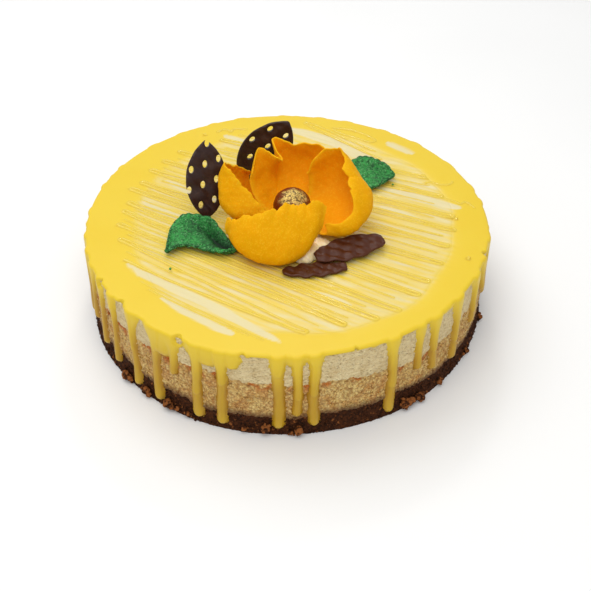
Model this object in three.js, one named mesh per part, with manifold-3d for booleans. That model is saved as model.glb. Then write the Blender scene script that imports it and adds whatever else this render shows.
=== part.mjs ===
// A glazed layer cake with a sugar flower, in millimetres, +Z up.
// The origin is the middle of the cake's flat foot, and the viewer stands at -Y.
import * as THREE from 'three';
import { mergeVertices } from 'three/addons/utils/BufferGeometryUtils.js';
import Module from 'manifold-3d';

const wasm = await Module();
wasm.setup();

// Driving dimensions of the cake
const cakeRadius = 119.2;        // cut side of the layers
const sideSegments = 96;         // facets round the cake
const gap = 0.3;                 // air between neighbouring pieces
const crumbHeight = 12;          // biscuit crumb base
const bakedHeight = 37;          // top of the baked layer
const creamHeight = 56;          // top of the cream layer
const glazeTop = 58.4;           // top of the thick glaze round the rim
const combedTop = 57.7;          // thinner glaze inside the rim
const footFlare = 1.7;           // how far the crumb base spreads at its foot

// Driving dimensions of the glaze
const bandDrop = 2.8;            // how far the glaze folds over the rim
const bandThickness = 1.5;
const ringRadius = 101;          // inner edge of the thick ring
const ringSlope = 4;             // width of the ring's inner slope
const dripThickness = 1.9;
const dripStart = 2;             // how far under the top the drips begin
const combAngle = -28;           // direction of the piped lines, degrees
const combReach = 101;           // how far from their middle the lines run
const turnHalf = 1.3;            // half the width of the turn between two lines
const lineSteps = 2;             // straight stretches to each line
const ridgeWidth = 2.2;
const ridgeHeight = 0.75;
const ridgeSink = 0.2;           // how deep a ridge is sunk in the glaze

// Driving dimensions of the toppings
const flowerX = 3;               // middle of the flower
const flowerY = -9;
const petalThickness = 1.8;
const pearlRadius = 11;
const pearlHeight = 15.2;        // its middle above the glaze
const pearlForward = 1.3;        // it sits a little in front of the flower's middle
const plateThickness = 1.8;
const leafThickness = 2.6;
const leafRest = 1.7;            // lowest middle of a leaf above the glaze
const restHeight = glazeTop + 1.5 * gap;     // foot of what lies on the glaze

const radians = THREE.MathUtils.degToRad;

// A repeatable number from 0 to 1 for each index and kind
function chance(index, kind) {
  const wave = Math.sin(index * 12.9898 + kind * 78.233) * 43758.5453;
  return wave - Math.floor(wave);
}

function smooth(from, to, value) {
  return THREE.MathUtils.smoothstep(value, from, to);
}

// Solids and geometry
function weld(geometry) {
  geometry.deleteAttribute('normal');
  geometry.deleteAttribute('uv');
  return mergeVertices(geometry, 1e-4);
}

function asSolid(geometry) {
  const welded = weld(geometry);
  const mesh = new wasm.Mesh({
    numProp: 3,
    vertProperties: new Float32Array(welded.attributes.position.array),
    triVerts: new Uint32Array(welded.index.array),
  });
  return new wasm.Manifold(mesh);
}

function asGeometry(solid) {
  const mesh = solid.getMesh();
  const geometry = new THREE.BufferGeometry();
  geometry.setAttribute('position', new THREE.BufferAttribute(new Float32Array(mesh.vertProperties), 3));
  geometry.setIndex(new THREE.BufferAttribute(new Uint32Array(mesh.triVerts), 1));
  return geometry;
}

// The largest piece of a solid, without the scraps that cutting leaves
function largestPiece(solid) {
  const pieces = solid.decompose();
  return pieces.reduce((best, piece) => (piece.volume() > best.volume() ? piece : best));
}

// Moves every vertex of a geometry by a function of its place
function reshape(geometry, move) {
  const position = geometry.attributes.position;
  const point = new THREE.Vector3();
  for (let i = 0; i < position.count; i++) {
    point.fromBufferAttribute(position, i);
    move(point);
    position.setXYZ(i, point.x, point.y, point.z);
  }
  return geometry;
}

// A thin closed sheet from a grid: both faces carry the same triangles.
// face(u, v, side) gives the place, with u and v from 0 to 1 and side 1 in front, 0 behind.
function sheet(columns, rows, face) {
  const grid = new THREE.PlaneGeometry(1, 1, columns, rows);
  const count = grid.attributes.position.count;
  const places = [];
  for (const side of [1, 0]) {
    for (let i = 0; i < count; i++) {
      const place = face(grid.attributes.uv.getX(i), grid.attributes.uv.getY(i), side);
      places.push(place.x, place.y, place.z);
    }
  }
  const triangles = [];
  const index = grid.index.array;
  for (let i = 0; i < index.length; i += 3) {
    triangles.push(index[i], index[i + 1], index[i + 2]);
    triangles.push(count + index[i], count + index[i + 2], count + index[i + 1]);
  }
  for (const [from, to] of outlineEdges(columns, rows)) {
    triangles.push(from, count + from, to);
    triangles.push(to, count + from, count + to);
  }
  const geometry = new THREE.BufferGeometry();
  geometry.setAttribute('position', new THREE.Float32BufferAttribute(places, 3));
  geometry.setIndex(triangles);
  return geometry;
}

// The edges of a grid in turn, anticlockwise as the front face sees them
function outlineEdges(columns, rows) {
  const across = columns + 1;
  const last = rows * across;
  const loop = [];
  for (let c = 0; c < columns; c++) loop.push(last + c);
  for (let r = rows; r > 0; r--) loop.push(r * across + columns);
  for (let c = columns; c > 0; c--) loop.push(c);
  for (let r = 0; r < rows; r++) loop.push(r * across);
  return loop.map((from, i) => [from, loop[(i + 1) % loop.length]]);
}

// A closed solid through rings of points, each ring anticlockwise as seen from the first end
function loft(rings) {
  const corners = rings[0].length;
  const places = rings.flat().flatMap((point) => [point.x, point.y, point.z]);
  const triangles = [];
  for (let i = 0; i < rings.length - 1; i++) {
    for (let k = 0; k < corners; k++) {
      const a = i * corners + k;
      const b = i * corners + (k + 1) % corners;
      triangles.push(a, a + corners, b, b, a + corners, b + corners);
    }
  }
  const end = (rings.length - 1) * corners;
  for (let k = 1; k < corners - 1; k++) {
    triangles.push(0, k, k + 1);
    triangles.push(end, end + k + 1, end + k);
  }
  const geometry = new THREE.BufferGeometry();
  geometry.setAttribute('position', new THREE.Float32BufferAttribute(places, 3));
  geometry.setIndex(triangles);
  return geometry;
}

// The cake's outline wavers a little, the same at every height
function sideRadius(angle) {
  return cakeRadius + 0.45 * Math.sin(3 * angle + 0.6) + 0.25 * Math.sin(7 * angle + 2.1);
}

// The crumb base spreads towards its foot
function footSpread(height) {
  return footFlare * Math.max(0, 1 - height / crumbHeight) ** 2;
}

// Where the crumb base ends and the baked layer begins, at the side
function crumbLine(angle) {
  return crumbHeight + 0.9 * Math.sin(5 * angle + 1) + 0.8 * Math.sin(17 * angle)
    + 0.5 * Math.sin(31 * angle + 2);
}

// Where the baked layer ends and the cream begins, at the side
function creamLine(angle) {
  return bakedHeight + 2.8 * Math.sin(2 * angle) + 0.9 * Math.sin(9 * angle + 0.5)
    + 0.6 * Math.sin(23 * angle + 1.5);
}

// A full round layer whose foot, head and side follow functions of the angle
function roundLayer(rows, foot, head, radius) {
  const geometry = new THREE.CylinderGeometry(1, 1, 1, sideSegments, rows);
  geometry.rotateX(Math.PI / 2);
  reshape(geometry, (point) => {
    const angle = Math.atan2(point.y, point.x);
    const onAxis = Math.hypot(point.x, point.y) < 0.5;
    const level = point.z + 0.5;
    const low = onAxis ? foot(null) : foot(angle);
    const high = onAxis ? head(null) : head(angle);
    const reach = onAxis ? 0 : radius(angle, level);
    point.set(reach * Math.cos(angle), reach * Math.sin(angle), low + (high - low) * level);
  });
  return geometry;
}

// A rough lump with few sides, for a crumb
function crumb(size, kind) {
  const geometry = weld(new THREE.IcosahedronGeometry(size, 0));
  let corner = 0;
  reshape(geometry, (point) => {
    point.multiplyScalar(0.8 + 0.4 * chance(corner, kind));
    corner += 1;
  });
  geometry.rotateX(6 * chance(kind, 5));
  geometry.rotateZ(6 * chance(kind, 6));
  return geometry;
}

// Drips of glaze down the side: azimuth and width in degrees and millimetres, the height of the
// tip, and how much wider the drip starts at the rim
const shownDrips = [
  [-172, 22, 5.0, 0.8], [-165, 12, 5.2, 0.7], [-158.5, 17, 4.8, 0.9], [-151.5, 9, 5.0, 0.9],
  [-144.2, 6.6, 5.2, 0.7], [-135, 3.4, 5.6, 1.0], [-126.6, 3.2, 6.2, 1.4], [-120.6, 29, 5.2, 1.6],
  [-113.8, 4.0, 6.0, 1.3], [-106.9, 3.8, 5.8, 1.8], [-92.2, 4.8, 6.2, 0.6], [-87.4, 13.7, 5.0, 0.5],
  [-83.1, 5.8, 5.6, 0.6], [-61.8, 3.0, 5.8, 0.5], [-53.2, 25.5, 5.0, 0.5], [-47.6, 18, 5.6, 0.8],
  [-37.6, 12, 6.2, 1.0], [-26.6, 22, 6.0, 0.9], [-18.4, 33, 5.2, 0.8], [-9.2, 15, 5.4, 0.7],
];
const hiddenDrips = 15;

// Short wide sheets of glaze, from which the drips beside them run on, in the same terms
const sheets = [
  [-123.6, 39.5, 13, 0.3], [-110.4, 44.5, 13, 0.3], [-103.8, 46, 6, 0.8], [-87.7, 50.5, 14, 0.1],
];

// All drips; those of the far side are spaced as loosely as those that show
function dripList() {
  const drips = [...shownDrips, ...sheets];
  for (let i = 0; i < hiddenDrips; i++) {
    const azimuth = (180 / hiddenDrips) * (i + 0.3 + 0.5 * chance(i, 11));
    const tip = 4 + 26 * chance(i, 12) ** 1.6;
    drips.push([azimuth, tip, 4.8 + 1.4 * chance(i, 13), 0.5 + chance(i, 14)]);
  }
  return drips;
}

// The biscuit crumb base with the crumbs that stick out at its foot
function crumbBase() {
  const reach = (angle, level) => sideRadius(angle) + footSpread(level * crumbHeight)
    - 0.3 * (1 + Math.sin(29 * angle + 9 * level));
  const foot = () => 0;
  const head = (angle) => (angle === null ? crumbHeight : crumbLine(angle)) - gap;
  let solid = asSolid(roundLayer(3, foot, head, reach));
  for (const lump of footCrumbs()) solid = solid.add(asSolid(lump));
  return asGeometry(largestPiece(solid));
}

// Heaps of crumbs along the foot: azimuth of the middle, half the spread in degrees, and count
const heaps = [
  [-130, 11, 13], [-110, 10, 4], [-91, 5, 6], [-57, 6, 8], [-30, 20, 3], [60, 60, 5], [150, 30, 3],
];
const dripClearance = 2.9;       // degrees between a crumb and a drip that reaches as low

// Crumbs stuck along the foot, clear of the long drips
function footCrumbs() {
  const longDrips = dripList().filter(([, tip]) => tip < 9);
  const lumps = [];
  let index = 0;
  for (const [middle, spread, count] of heaps) {
    for (let i = 0; i < count; i++) {
      index += 1;
      const azimuth = middle + spread * (2 * (i + chance(index, 21)) / count - 1);
      if (longDrips.some(([at]) => Math.abs(at - azimuth) < dripClearance)) continue;
      const size = 1.3 + 1.3 * chance(index, 22);
      const lump = crumb(size, index);
      const angle = radians(azimuth);
      const reach = sideRadius(angle) + footFlare + 0.3 * size;
      const height = 1.4 * size + 2.4 * chance(index, 23);
      lump.translate(reach * Math.cos(angle), reach * Math.sin(angle), height);
      lumps.push(lump);
    }
  }
  return lumps;
}

// The baked layer, its side a little torn
function bakedLayer() {
  const foot = (angle) => (angle === null ? crumbHeight : crumbLine(angle));
  const head = (angle) => (angle === null ? bakedHeight : creamLine(angle)) - gap;
  const reach = (angle, level) => sideRadius(angle)
    - 0.3 * (1 + Math.sin(41 * angle + 13 * level)) * Math.sin(Math.PI * level);
  return weld(roundLayer(3, foot, head, reach));
}

// The cream layer, smoother at its side
function creamLayer() {
  const foot = (angle) => (angle === null ? bakedHeight : creamLine(angle));
  const head = () => creamHeight;
  const reach = (angle, level) => sideRadius(angle)
    - 0.15 * (1 + Math.sin(13 * angle + 5 * level)) * Math.sin(Math.PI * level);
  return weld(roundLayer(2, foot, head, reach));
}

// The sheet of glaze: a thin disc inside a thick ring, which folds over the edge
function glazeSheet() {
  const inside = cakeRadius + gap;
  const outside = inside + bandThickness;
  const under = creamHeight + gap;
  const edge = glazeTop - bandDrop;
  const slopeFoot = ringRadius - ringSlope;
  const profile = [
    [slopeFoot, under], [inside, under], [inside, edge - 0.6], [outside, edge],
    [outside - 0.4, glazeTop - 1], [outside - 2.4, glazeTop],
    [ringRadius, glazeTop], [slopeFoot, combedTop - 0.3], [slopeFoot, under],
  ].map(([x, y]) => new THREE.Vector2(x, y));
  const ring = new THREE.LatheGeometry(profile, sideSegments);
  ring.rotateX(Math.PI / 2);
  reshape(ring, (point) => {
    const angle = Math.atan2(point.y, point.x);
    const reach = Math.hypot(point.x, point.y);
    const inRing = reach < ringRadius + 1;
    const shift = inRing ? ringWaver(angle) : sideRadius(angle) - cakeRadius;
    point.x *= (reach + shift) / reach;
    point.y *= (reach + shift) / reach;
    if (point.z < edge + 0.1) point.z += 0.5 * Math.sin(11 * angle) + 0.4 * Math.sin(19 * angle + 1);
  });
  const discRadius = ringRadius + 7;
  const disc = new THREE.CylinderGeometry(discRadius, discRadius, combedTop - under, 24);
  disc.rotateX(Math.PI / 2);
  disc.translate(0, 0, (combedTop + under) / 2);
  return asSolid(ring).add(asSolid(disc));
}

// How far out the thick ring's inner edge lies: it is wide at the left and narrow at the front
function ringWaver(angle) {
  return 1.5 + 4 * Math.cos(angle) - 3 * Math.sin(angle) - 2.5 * Math.cos(2 * angle)
    + 1.2 * Math.sin(5 * angle + 0.4) + 0.8 * Math.sin(13 * angle);
}

// Half the width of a drip at v, 0 at the rim and 1 at the tip
function dripWidth(v, length, width, flare) {
  const down = v * length;
  const spread = flare * Math.exp(-((down / 7) ** 2));
  const bulb = 1 + 0.12 * smooth(0.55, 0.9, v);
  const nearTip = Math.max(0, down - (length - 0.55 * width)) / (0.55 * width);
  return (width / 2) * (0.9 + spread) * bulb * Math.sqrt(Math.max(0.03, 1 - nearTip ** 2));
}

// Sections of a drip run down the side: a flat back and a rounded front
function drip([azimuth, tip, width, flare]) {
  const stations = [0, 0.18, 0.5, 0.83, 0.96, 1];
  const start = glazeTop - dripStart;
  const length = start - tip;
  const rings = stations.map((fall) => {
    const half = dripWidth(fall, length, width, flare);
    const thick = dripThickness * (0.8 + 0.3 * smooth(0.5, 0.9, fall)) * Math.sqrt(1.06 - fall ** 8);
    const corners = [[1, 0], [-1, 0], [-0.62, 0.85], [0, 1], [0.62, 0.85]];
    return corners.map(([across, out]) => {
      const angle = radians(azimuth) + across * half / cakeRadius;
      const height = start - fall * length;
      const reach = sideRadius(angle) + footSpread(height) + 1.5 * gap + out * thick;
      return new THREE.Vector3(reach * Math.cos(angle), reach * Math.sin(angle), height);
    });
  });
  return asSolid(loft(rings));
}

// Where the piped line turns round at its left and right ends, from the back to the front,
// measured across the lines from their middle
const leftTurns = [70, 58, 45, 32, 18, 5, -9, -18, -31, -40, -52, -64, -80];
const rightTurns = [80, 65, 48, 36, 20, 3, -15, -28, -45, -57, -69, -84, -98];
const combMiddle = new THREE.Vector2(0, -1);

// The piped line: it runs to and fro across the top and down to the front, turn by turn
function combPath() {
  const along = new THREE.Vector2(Math.cos(radians(combAngle)), Math.sin(radians(combAngle)));
  const across = new THREE.Vector2(-along.y, along.x);
  const points = [];
  const put = (a, s) => {
    const place = combMiddle.clone().addScaledVector(along, a).addScaledVector(across, s);
    points.push(new THREE.Vector3(place.x, place.y, combedTop));
  };
  const endAt = (s, index) => Math.sqrt(combReach ** 2 - s * s) - 5 * chance(index, 31);
  const line = (from, fromSide, to, index) => {
    const start = fromSide * endAt(from, index);
    const end = -fromSide * endAt(to, index + 1);
    for (let step = 0; step <= lineSteps; step++) {
      const t = step / lineSteps;
      put(start + (end - start) * t, from + (to - from) * t + 1.1 * Math.sin(Math.PI * t) * Math.sin(index));
    }
  };
  leftTurns.forEach((left, k) => {
    line(left - turnHalf, -1, rightTurns[k] + turnHalf, 2 * k);
    if (k + 1 < leftTurns.length) line(rightTurns[k] - turnHalf, 1, leftTurns[k + 1] + turnHalf, 2 * k + 1);
  });
  return points;
}

// A low ridge with sloping sides swept along points on the top
function ridgeAlong(points) {
  const half = ridgeWidth / 2;
  const crest = ridgeHeight - ridgeSink;
  const section = [[-half, -ridgeSink], [-0.35 * half, crest], [0.35 * half, crest], [half, -ridgeSink]];
  const rings = points.map((point, i) => {
    const before = points[Math.max(0, i - 1)];
    const after = points[Math.min(points.length - 1, i + 1)];
    const heading = after.clone().sub(before).normalize();
    const side = new THREE.Vector3(-heading.y, heading.x, 0);
    return section.map(([offset, height]) => new THREE.Vector3(
      point.x + side.x * offset,
      point.y + side.y * offset,
      point.z + height,
    ));
  });
  return asSolid(loft(rings));
}

// Chips in the glaze at the rim, where the cream shows: azimuth and size
const rimChips = [[-72.5, 2.4], [-118.4, 3.2], [-139.5, 3.4], [-150.5, 2.6], [-101, 2.2], [-17, 3]];

function rimChip([azimuth, size]) {
  const geometry = crumb(size, Math.round(azimuth + 400));
  const angle = radians(azimuth);
  const reach = sideRadius(angle) + 1.8;
  geometry.translate(reach * Math.cos(angle), reach * Math.sin(angle), creamHeight - 0.6);
  return asSolid(geometry);
}

// The glaze in one piece: the sheet with its chips, drips and piped line
function glaze() {
  let solid = glazeSheet();
  for (const chip of rimChips) solid = solid.subtract(rimChip(chip));
  for (const row of dripList()) solid = solid.add(drip(row));
  solid = solid.add(ridgeAlong(combPath()));
  return asGeometry(largestPiece(solid));
}

// A place near the flower: bearing in degrees round its middle, reach, and height over the glaze
function flowerPlace([bearing, reach, height]) {
  const angle = radians(bearing);
  return new THREE.Vector3(
    flowerX + reach * Math.cos(angle),
    flowerY + reach * Math.sin(angle),
    glazeTop + height,
  );
}

// Each petal is a cupped sheet through four curves, its foot, belly, shoulder and rim, all given
// as bearing, reach and height from one side to the other
const petals = {
  petal_front: {
    foot: [[208, 12.5, 3.4], [255, 12.5, 3.4], [302, 12.5, 3.4]],
    belly: [[212, 42, -1.4], [235, 49, -4.3], [262, 51, -5.2], [277, 42, -3], [285, 31, 0.5]],
    shoulder: [[204, 45, 9], [228, 51, 10], [255, 52, 10], [283, 43, 11.5], [302, 32, 14]],
    rim: [[201, 40, 15.4], [213, 38, 20], [226, 35, 26], [240, 32, 29], [257, 24, 31.5], [272, 22, 31],
      [287, 22.5, 30.5], [301, 25, 33], [314, 27, 29]],
    ragged: 0.7,
  },
  petal_left: {
    foot: [[142, 12.5, 5.6], [178, 12.5, 5.6], [212, 12.5, 5.6]],
    belly: [[140, 33, 9], [154, 36, 8], [170, 42, 5], [188, 43, 5], [207, 33, 7], [222, 22, 9]],
    shoulder: [[138, 38, 20], [152, 40, 22], [166, 46, 22], [182, 48, 22], [200, 41, 20], [220, 28, 15]],
    rim: [[136, 34, 21.5], [147, 34, 28], [157, 35.5, 33], [167, 38, 37.5], [175, 38.5, 41],
      [181, 33.5, 36.5], [188, 28.5, 31.5], [200, 23, 25], [214, 19.5, 19.5], [228, 17.5, 15.5]],
    ragged: 0.4,
  },
  petal_back: {
    foot: [[60, 12.5, 7.8], [110, 12.5, 7.8], [172, 12.5, 7.8]],
    belly: [[54, 31, 10], [80, 35, 9], [102, 33, 9], [126, 29, 10], [163, 23, 11]],
    shoulder: [[48, 37, 26], [72, 40, 25], [94, 38, 25], [104, 35, 25], [112, 32, 24], [126, 33, 24],
      [153, 29, 21]],
    rim: [[46, 32, 36], [60, 33, 38], [74, 33.5, 36.5], [88, 33, 36], [98, 34, 37.5], [108, 37, 38.5],
      [110, 30, 36.5], [106.5, 21, 33], [112, 20.5, 34.5], [119, 26.5, 36], [127, 32, 37.5], [146, 29, 27]],
    ragged: 0.3,
  },
  petal_right: {
    foot: [[-46, 12.5, 10], [6, 12.5, 10], [52, 12.5, 10]],
    belly: [[-50, 30, 4], [-30, 42, 3], [-8, 47, 6], [16, 43, 9], [38, 33, 11], [56, 21, 12]],
    shoulder: [[-46, 32, 13], [-30, 47, 13], [-10, 56, 20], [8, 55, 24], [24, 47, 28], [42, 37, 29],
      [60, 22, 24]],
    rim: [[-46, 27, 15], [-37, 34, 17], [-24, 38, 23], [-13, 34, 30], [-4, 32, 32.5], [4, 33, 33],
      [10, 29.5, 36], [22, 33, 38], [34, 33, 41], [46, 29, 40], [56, 23, 34], [62, 19.5, 26]],
    ragged: 0.5,
  },
};

// The middle face of a petal at u across and v from foot to rim
function petalPlace(petal, u, v) {
  const rows = [petal.foot, petal.belly, petal.shoulder, petal.rim];
  const w = 1 - v;
  const weights = [w ** 3, 3 * v * w ** 2, 3 * v ** 2 * w, v ** 3];
  const place = new THREE.Vector3();
  rows.forEach((row, i) => {
    const curve = new THREE.CatmullRomCurve3(row.map(flowerPlace), false, 'centripetal');
    place.addScaledVector(curve.getPoint(u), weights[i]);
  });
  place.z += petal.ragged * v ** 6 * (Math.sin(37 * u) + Math.sin(61 * u + 1));
  return place;
}

// The directions across and up a petal, found from places close by
function petalSlopes(petal, u, v) {
  const step = 0.01;
  const left = petalPlace(petal, Math.max(0, u - step), v);
  const low = petalPlace(petal, u, Math.max(0, v - step));
  const across = petalPlace(petal, Math.min(1, u + step), v).sub(left).normalize();
  const up = petalPlace(petal, u, Math.min(1, v + step)).sub(low).normalize();
  return { across, up, normal: across.clone().cross(up).normalize() };
}

// The petal as a sheet that is thinner at its edges, grown on every side where room is cut for it
function petalSheet(petal, columns, grow) {
  return sheet(columns, 6, (u, v, side) => {
    const { across, up, normal } = petalSlopes(petal, u, v);
    const edge = 0.55 + 0.45 * smooth(0, 0.12, Math.min(u, 1 - u, 1 - v));
    const place = petalPlace(petal, u, v);
    place.addScaledVector(normal, (side - 0.5) * (petalThickness * edge + 2 * grow));
    place.addScaledVector(across, grow * (Math.floor(u) + Math.ceil(u) - 1));
    place.addScaledVector(up, grow * (Math.floor(v) + Math.ceil(v) - 1));
    return place;
  });
}

// One whole petal
function petal(name) {
  const columns = name === 'petal_back' ? 16 : 12;     // the back one has a deep fold
  return weld(petalSheet(petals[name], columns, 0));
}

// The chocolate ball in the flower's cup
function pearl() {
  const geometry = new THREE.SphereGeometry(pearlRadius, 14, 9);
  geometry.rotateX(Math.PI / 2);
  geometry.translate(flowerX, flowerY - pearlForward, glazeTop + pearlHeight);
  return weld(geometry);
}

// The dab of cream that holds the flower: a low mound with lobes squeezed out between the
// petals, cut back to leave room for them and for the plate that rests against it
function creamDab() {
  const lobes = [
    { x: 3, y: -10, reach: 14, height: 3 },
    { x: 12.5, y: -21.5, reach: 7, height: 4 },
    { x: 17.5, y: -33, reach: 9.5, height: 6.2 },
    { x: 9.5, y: -39, reach: 6.8, height: 5.5 },
  ];
  let solid = null;
  for (const { x, y, reach, height } of lobes) {
    const geometry = new THREE.SphereGeometry(1, 12, 6);
    geometry.rotateX(Math.PI / 2);
    reshape(geometry, (point) => {
      point.set(point.x * reach, point.y * reach, Math.max(point.z, 0) * height);
    });
    geometry.translate(x, y, restHeight);
    const lobe = asSolid(geometry);
    solid = solid ? solid.add(lobe) : lobe;
  }
  for (const name of ['petal_front', 'petal_right']) {
    solid = solid.subtract(asSolid(petalSheet(petals[name], 12, 0.5)));
  }
  const row = plates.chocolate_upper;
  const grown = { ...row, length: row.length + 6 * gap, width: row.width + 6 * gap };
  const blank = new THREE.Mesh(plateBlank(grown, plateThickness + 4 * gap));
  stand(blank, row.place, row.across, row.up).updateMatrix();
  solid = solid.subtract(asSolid(blank.geometry.applyMatrix4(blank.matrix)));
  return asGeometry(largestPiece(solid));
}

// Chocolate plates: pointed ovals between two equal arcs, standing or lying. The standing ones
// are pierced by oval holes on a slanted lattice. The lying ones have a wavy edge, and blunt is
// the share of their length by which the arcs would meet further out.
const plates = {
  chocolate_left: {
    length: 45, width: 23, waver: 0, blunt: 0,
    lattice: { start: [-2.2, -2.6], right: [8.2, 3], up: [-6.8, 9] },
    place: [-47.5, 5.9, 81.1], across: [0.95, 0.28, -0.14], up: [0.2, 19, 40],
  },
  chocolate_rear: {
    length: 48.5, width: 28, waver: 0, blunt: 0,
    lattice: { start: [-0.8, 4.3], right: [5.8, -10.4], up: [4.8, 12.1] },
    place: [-13.8, 41.5, 78.1], across: [0.8, 0, -0.6], up: [27, 4, 37],
  },
  chocolate_upper: {
    length: 41, width: 15, waver: 0.5, blunt: 0.2, lattice: null,
    place: [35.7, -35.9, 63.4], across: [-0.4, 1, 0.22], up: [1, 0.4, 0.03],
  },
  chocolate_lower: {
    length: 35, width: 11, waver: 0.4, blunt: 0.2, lattice: null,
    place: [15.5, -51.3, 60.1], across: [-0.14, 1, -0.05], up: [1, 0.14, 0],
  },
};
const holeSize = [1.5, 2.2];     // half the width and height of a hole

// The outline, side by side from the top point
function pointedOval({ length, width, waver, blunt }) {
  const steps = 12;
  const sag = width / 2;
  const radius = ((length * (1 + blunt) / 2) ** 2 + sag ** 2) / (2 * sag);
  const points = [];
  for (const side of [1, -1]) {
    for (let i = 0; i < steps + Math.ceil(blunt); i++) {
      const y = side * length * (0.5 - i / steps);
      const bulge = Math.sqrt(radius ** 2 - y ** 2) - (radius - sag);
      const ripple = waver * Math.sin(7 * Math.PI * i / steps);
      points.push(new THREE.Vector2(side * (bulge + ripple), y));
    }
  }
  return new THREE.Shape(points);
}

// The plate before it is pierced
function plateBlank(row, thickness) {
  const blank = new THREE.ExtrudeGeometry(pointedOval(row), { depth: thickness, bevelEnabled: false });
  return blank.translate(0, 0, -thickness / 2);
}

// Places of the holes within the plate's oval
function latticeHoles({ length, width, lattice: { start, right, up } }) {
  const holes = [];
  for (let i = -5; i <= 5; i++) {
    for (let j = -5; j <= 5; j++) {
      const x = start[0] + i * right[0] + j * up[0];
      const y = start[1] + i * right[1] + j * up[1];
      if ((2 * x / width) ** 2 + (2 * y / length) ** 2 < 1.1) holes.push([x, y]);
    }
  }
  return holes;
}

// A plate in its own flat frame, with whatever holes its row gives it
function plate(row) {
  let solid = asSolid(plateBlank(row, plateThickness));
  for (const [x, y] of row.lattice ? latticeHoles(row) : []) {
    const hole = new THREE.CylinderGeometry(1, 1, 4 * plateThickness, 8);
    hole.rotateX(Math.PI / 2);
    hole.scale(...holeSize, 1);
    hole.translate(x, y, 0);
    solid = solid.subtract(asSolid(hole));
  }
  return asGeometry(largestPiece(solid));
}

// Turns a flat piece so that its X runs along across and its Y leans along up
function stand(mesh, place, across, up) {
  const x = new THREE.Vector3(...across).normalize();
  const y = new THREE.Vector3(...up);
  y.addScaledVector(x, -y.dot(x)).normalize();
  const z = new THREE.Vector3().crossVectors(x, y);
  mesh.setRotationFromMatrix(new THREE.Matrix4().makeBasis(x, y, z));
  mesh.position.set(...place);
  return mesh;
}

// A serrated leaf: a wavy sheet between its near and far edges, which meet at stem and tip.
// The edges are given as X, Y and height over the glaze.
const leaves = {
  leaf_left: {
    near: [[-68.5, -37, 2.6], [-62, -34, 4.4], [-54, -33.5, 4.2], [-45, -36.5, 3.4], [-36, -39, 4.2],
      [-29.5, -36.5, 4.4]],
    far: [[-68.5, -36, 3], [-66.5, -18, 6], [-61.5, -12, 9], [-55, -11.5, 11], [-45, -17, 12.5],
      [-39, -24, 9], [-31, -34, 4.6]],
    cup: 3,
    hollow: 6,
  },
  leaf_right: {
    near: [[40, 27, 3], [47, 26, 2.6], [53, 28, 2.4], [60, 33, 2.8], [66.5, 39, 3.6]],
    far: [[38, 38, 5], [41, 47, 8.5], [48, 50, 10], [55, 48.5, 9.5], [62, 46, 7], [66.5, 41, 4]],
    cup: 2,
    hollow: 0.8,
  },
};

// How deep the hollow that runs slanting to the tip lies, as a share of its full depth
function hollowShare(u, v) {
  const middle = 0.86 - 0.36 * (v - 0.2);
  const across = smooth(0, 0.3, v) * (1 - 0.7 * smooth(0.75, 1, v));
  return Math.exp(-(((u - middle) / 0.12) ** 2)) * across;
}

function curveThrough(rows) {
  const points = rows.map((row) => new THREE.Vector3(...row));
  return new THREE.CatmullRomCurve3(points, false, 'centripetal');
}

function leaf({ near, far, cup, hollow }) {
  const nearEdge = curveThrough(near);
  const farEdge = curveThrough(far);
  return sheet(14, 6, (u, v, side) => {
    const place = nearEdge.getPoint(u).lerp(farEdge.getPoint(u), v);
    const teeth = 0.5 * Math.sin(19 * Math.PI * u) * (2 * v - 1) ** 3;
    place.y += teeth;
    const sunk = cup * Math.sin(Math.PI * v) * Math.sin(Math.PI * u) ** 0.5 + hollow * hollowShare(u, v);
    place.z = glazeTop + Math.max(place.z - sunk, leafRest) + (side - 0.5) * leafThickness;
    return place;
  });
}

// Materials
function finish(colour, roughness) {
  return new THREE.MeshStandardMaterial({ color: colour, roughness, metalness: 0 });
}

const crumbFinish = finish(0x5a331c, 0.9);
const bakedFinish = finish(0xd3a868, 0.8);
const creamFinish = finish(0xe3cfa4, 0.6);
const glazeFinish = finish(0xf2d247, 0.2);
const petalFinish = finish(0xf5a413, 0.55);
const leafFinish = finish(0x23743f, 0.75);
const chocolateFinish = finish(0x3f2620, 0.45);
const pearlFinish = finish(0x8a5a2c, 0.35);
const dabFinish = finish(0xe9cf9c, 0.5);

const group = new THREE.Group();

function add(name, geometry, material) {
  const mesh = new THREE.Mesh(geometry, material);
  mesh.name = name;
  group.add(mesh);
  return mesh;
}

add('crumb_base', crumbBase(), crumbFinish);
add('baked_layer', bakedLayer(), bakedFinish);
add('cream_layer', creamLayer(), creamFinish);
add('glaze', glaze(), glazeFinish);
for (const name of Object.keys(petals)) add(name, petal(name), petalFinish);
add('pearl', pearl(), pearlFinish);
add('cream_dab', creamDab(), dabFinish);
for (const name of Object.keys(leaves)) add(name, weld(leaf(leaves[name])), leafFinish);

for (const [name, row] of Object.entries(plates)) {
  stand(add(name, plate(row), chocolateFinish), row.place, row.across, row.up);
}

export default group;
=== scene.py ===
# A glazed layer cake with a sugar flower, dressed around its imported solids.
# Lengths in the dictionaries and in the shape code are millimetres, and angles are degrees.
import math

import bpy
import numpy as np
from mathutils import Matrix, kdtree


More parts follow.
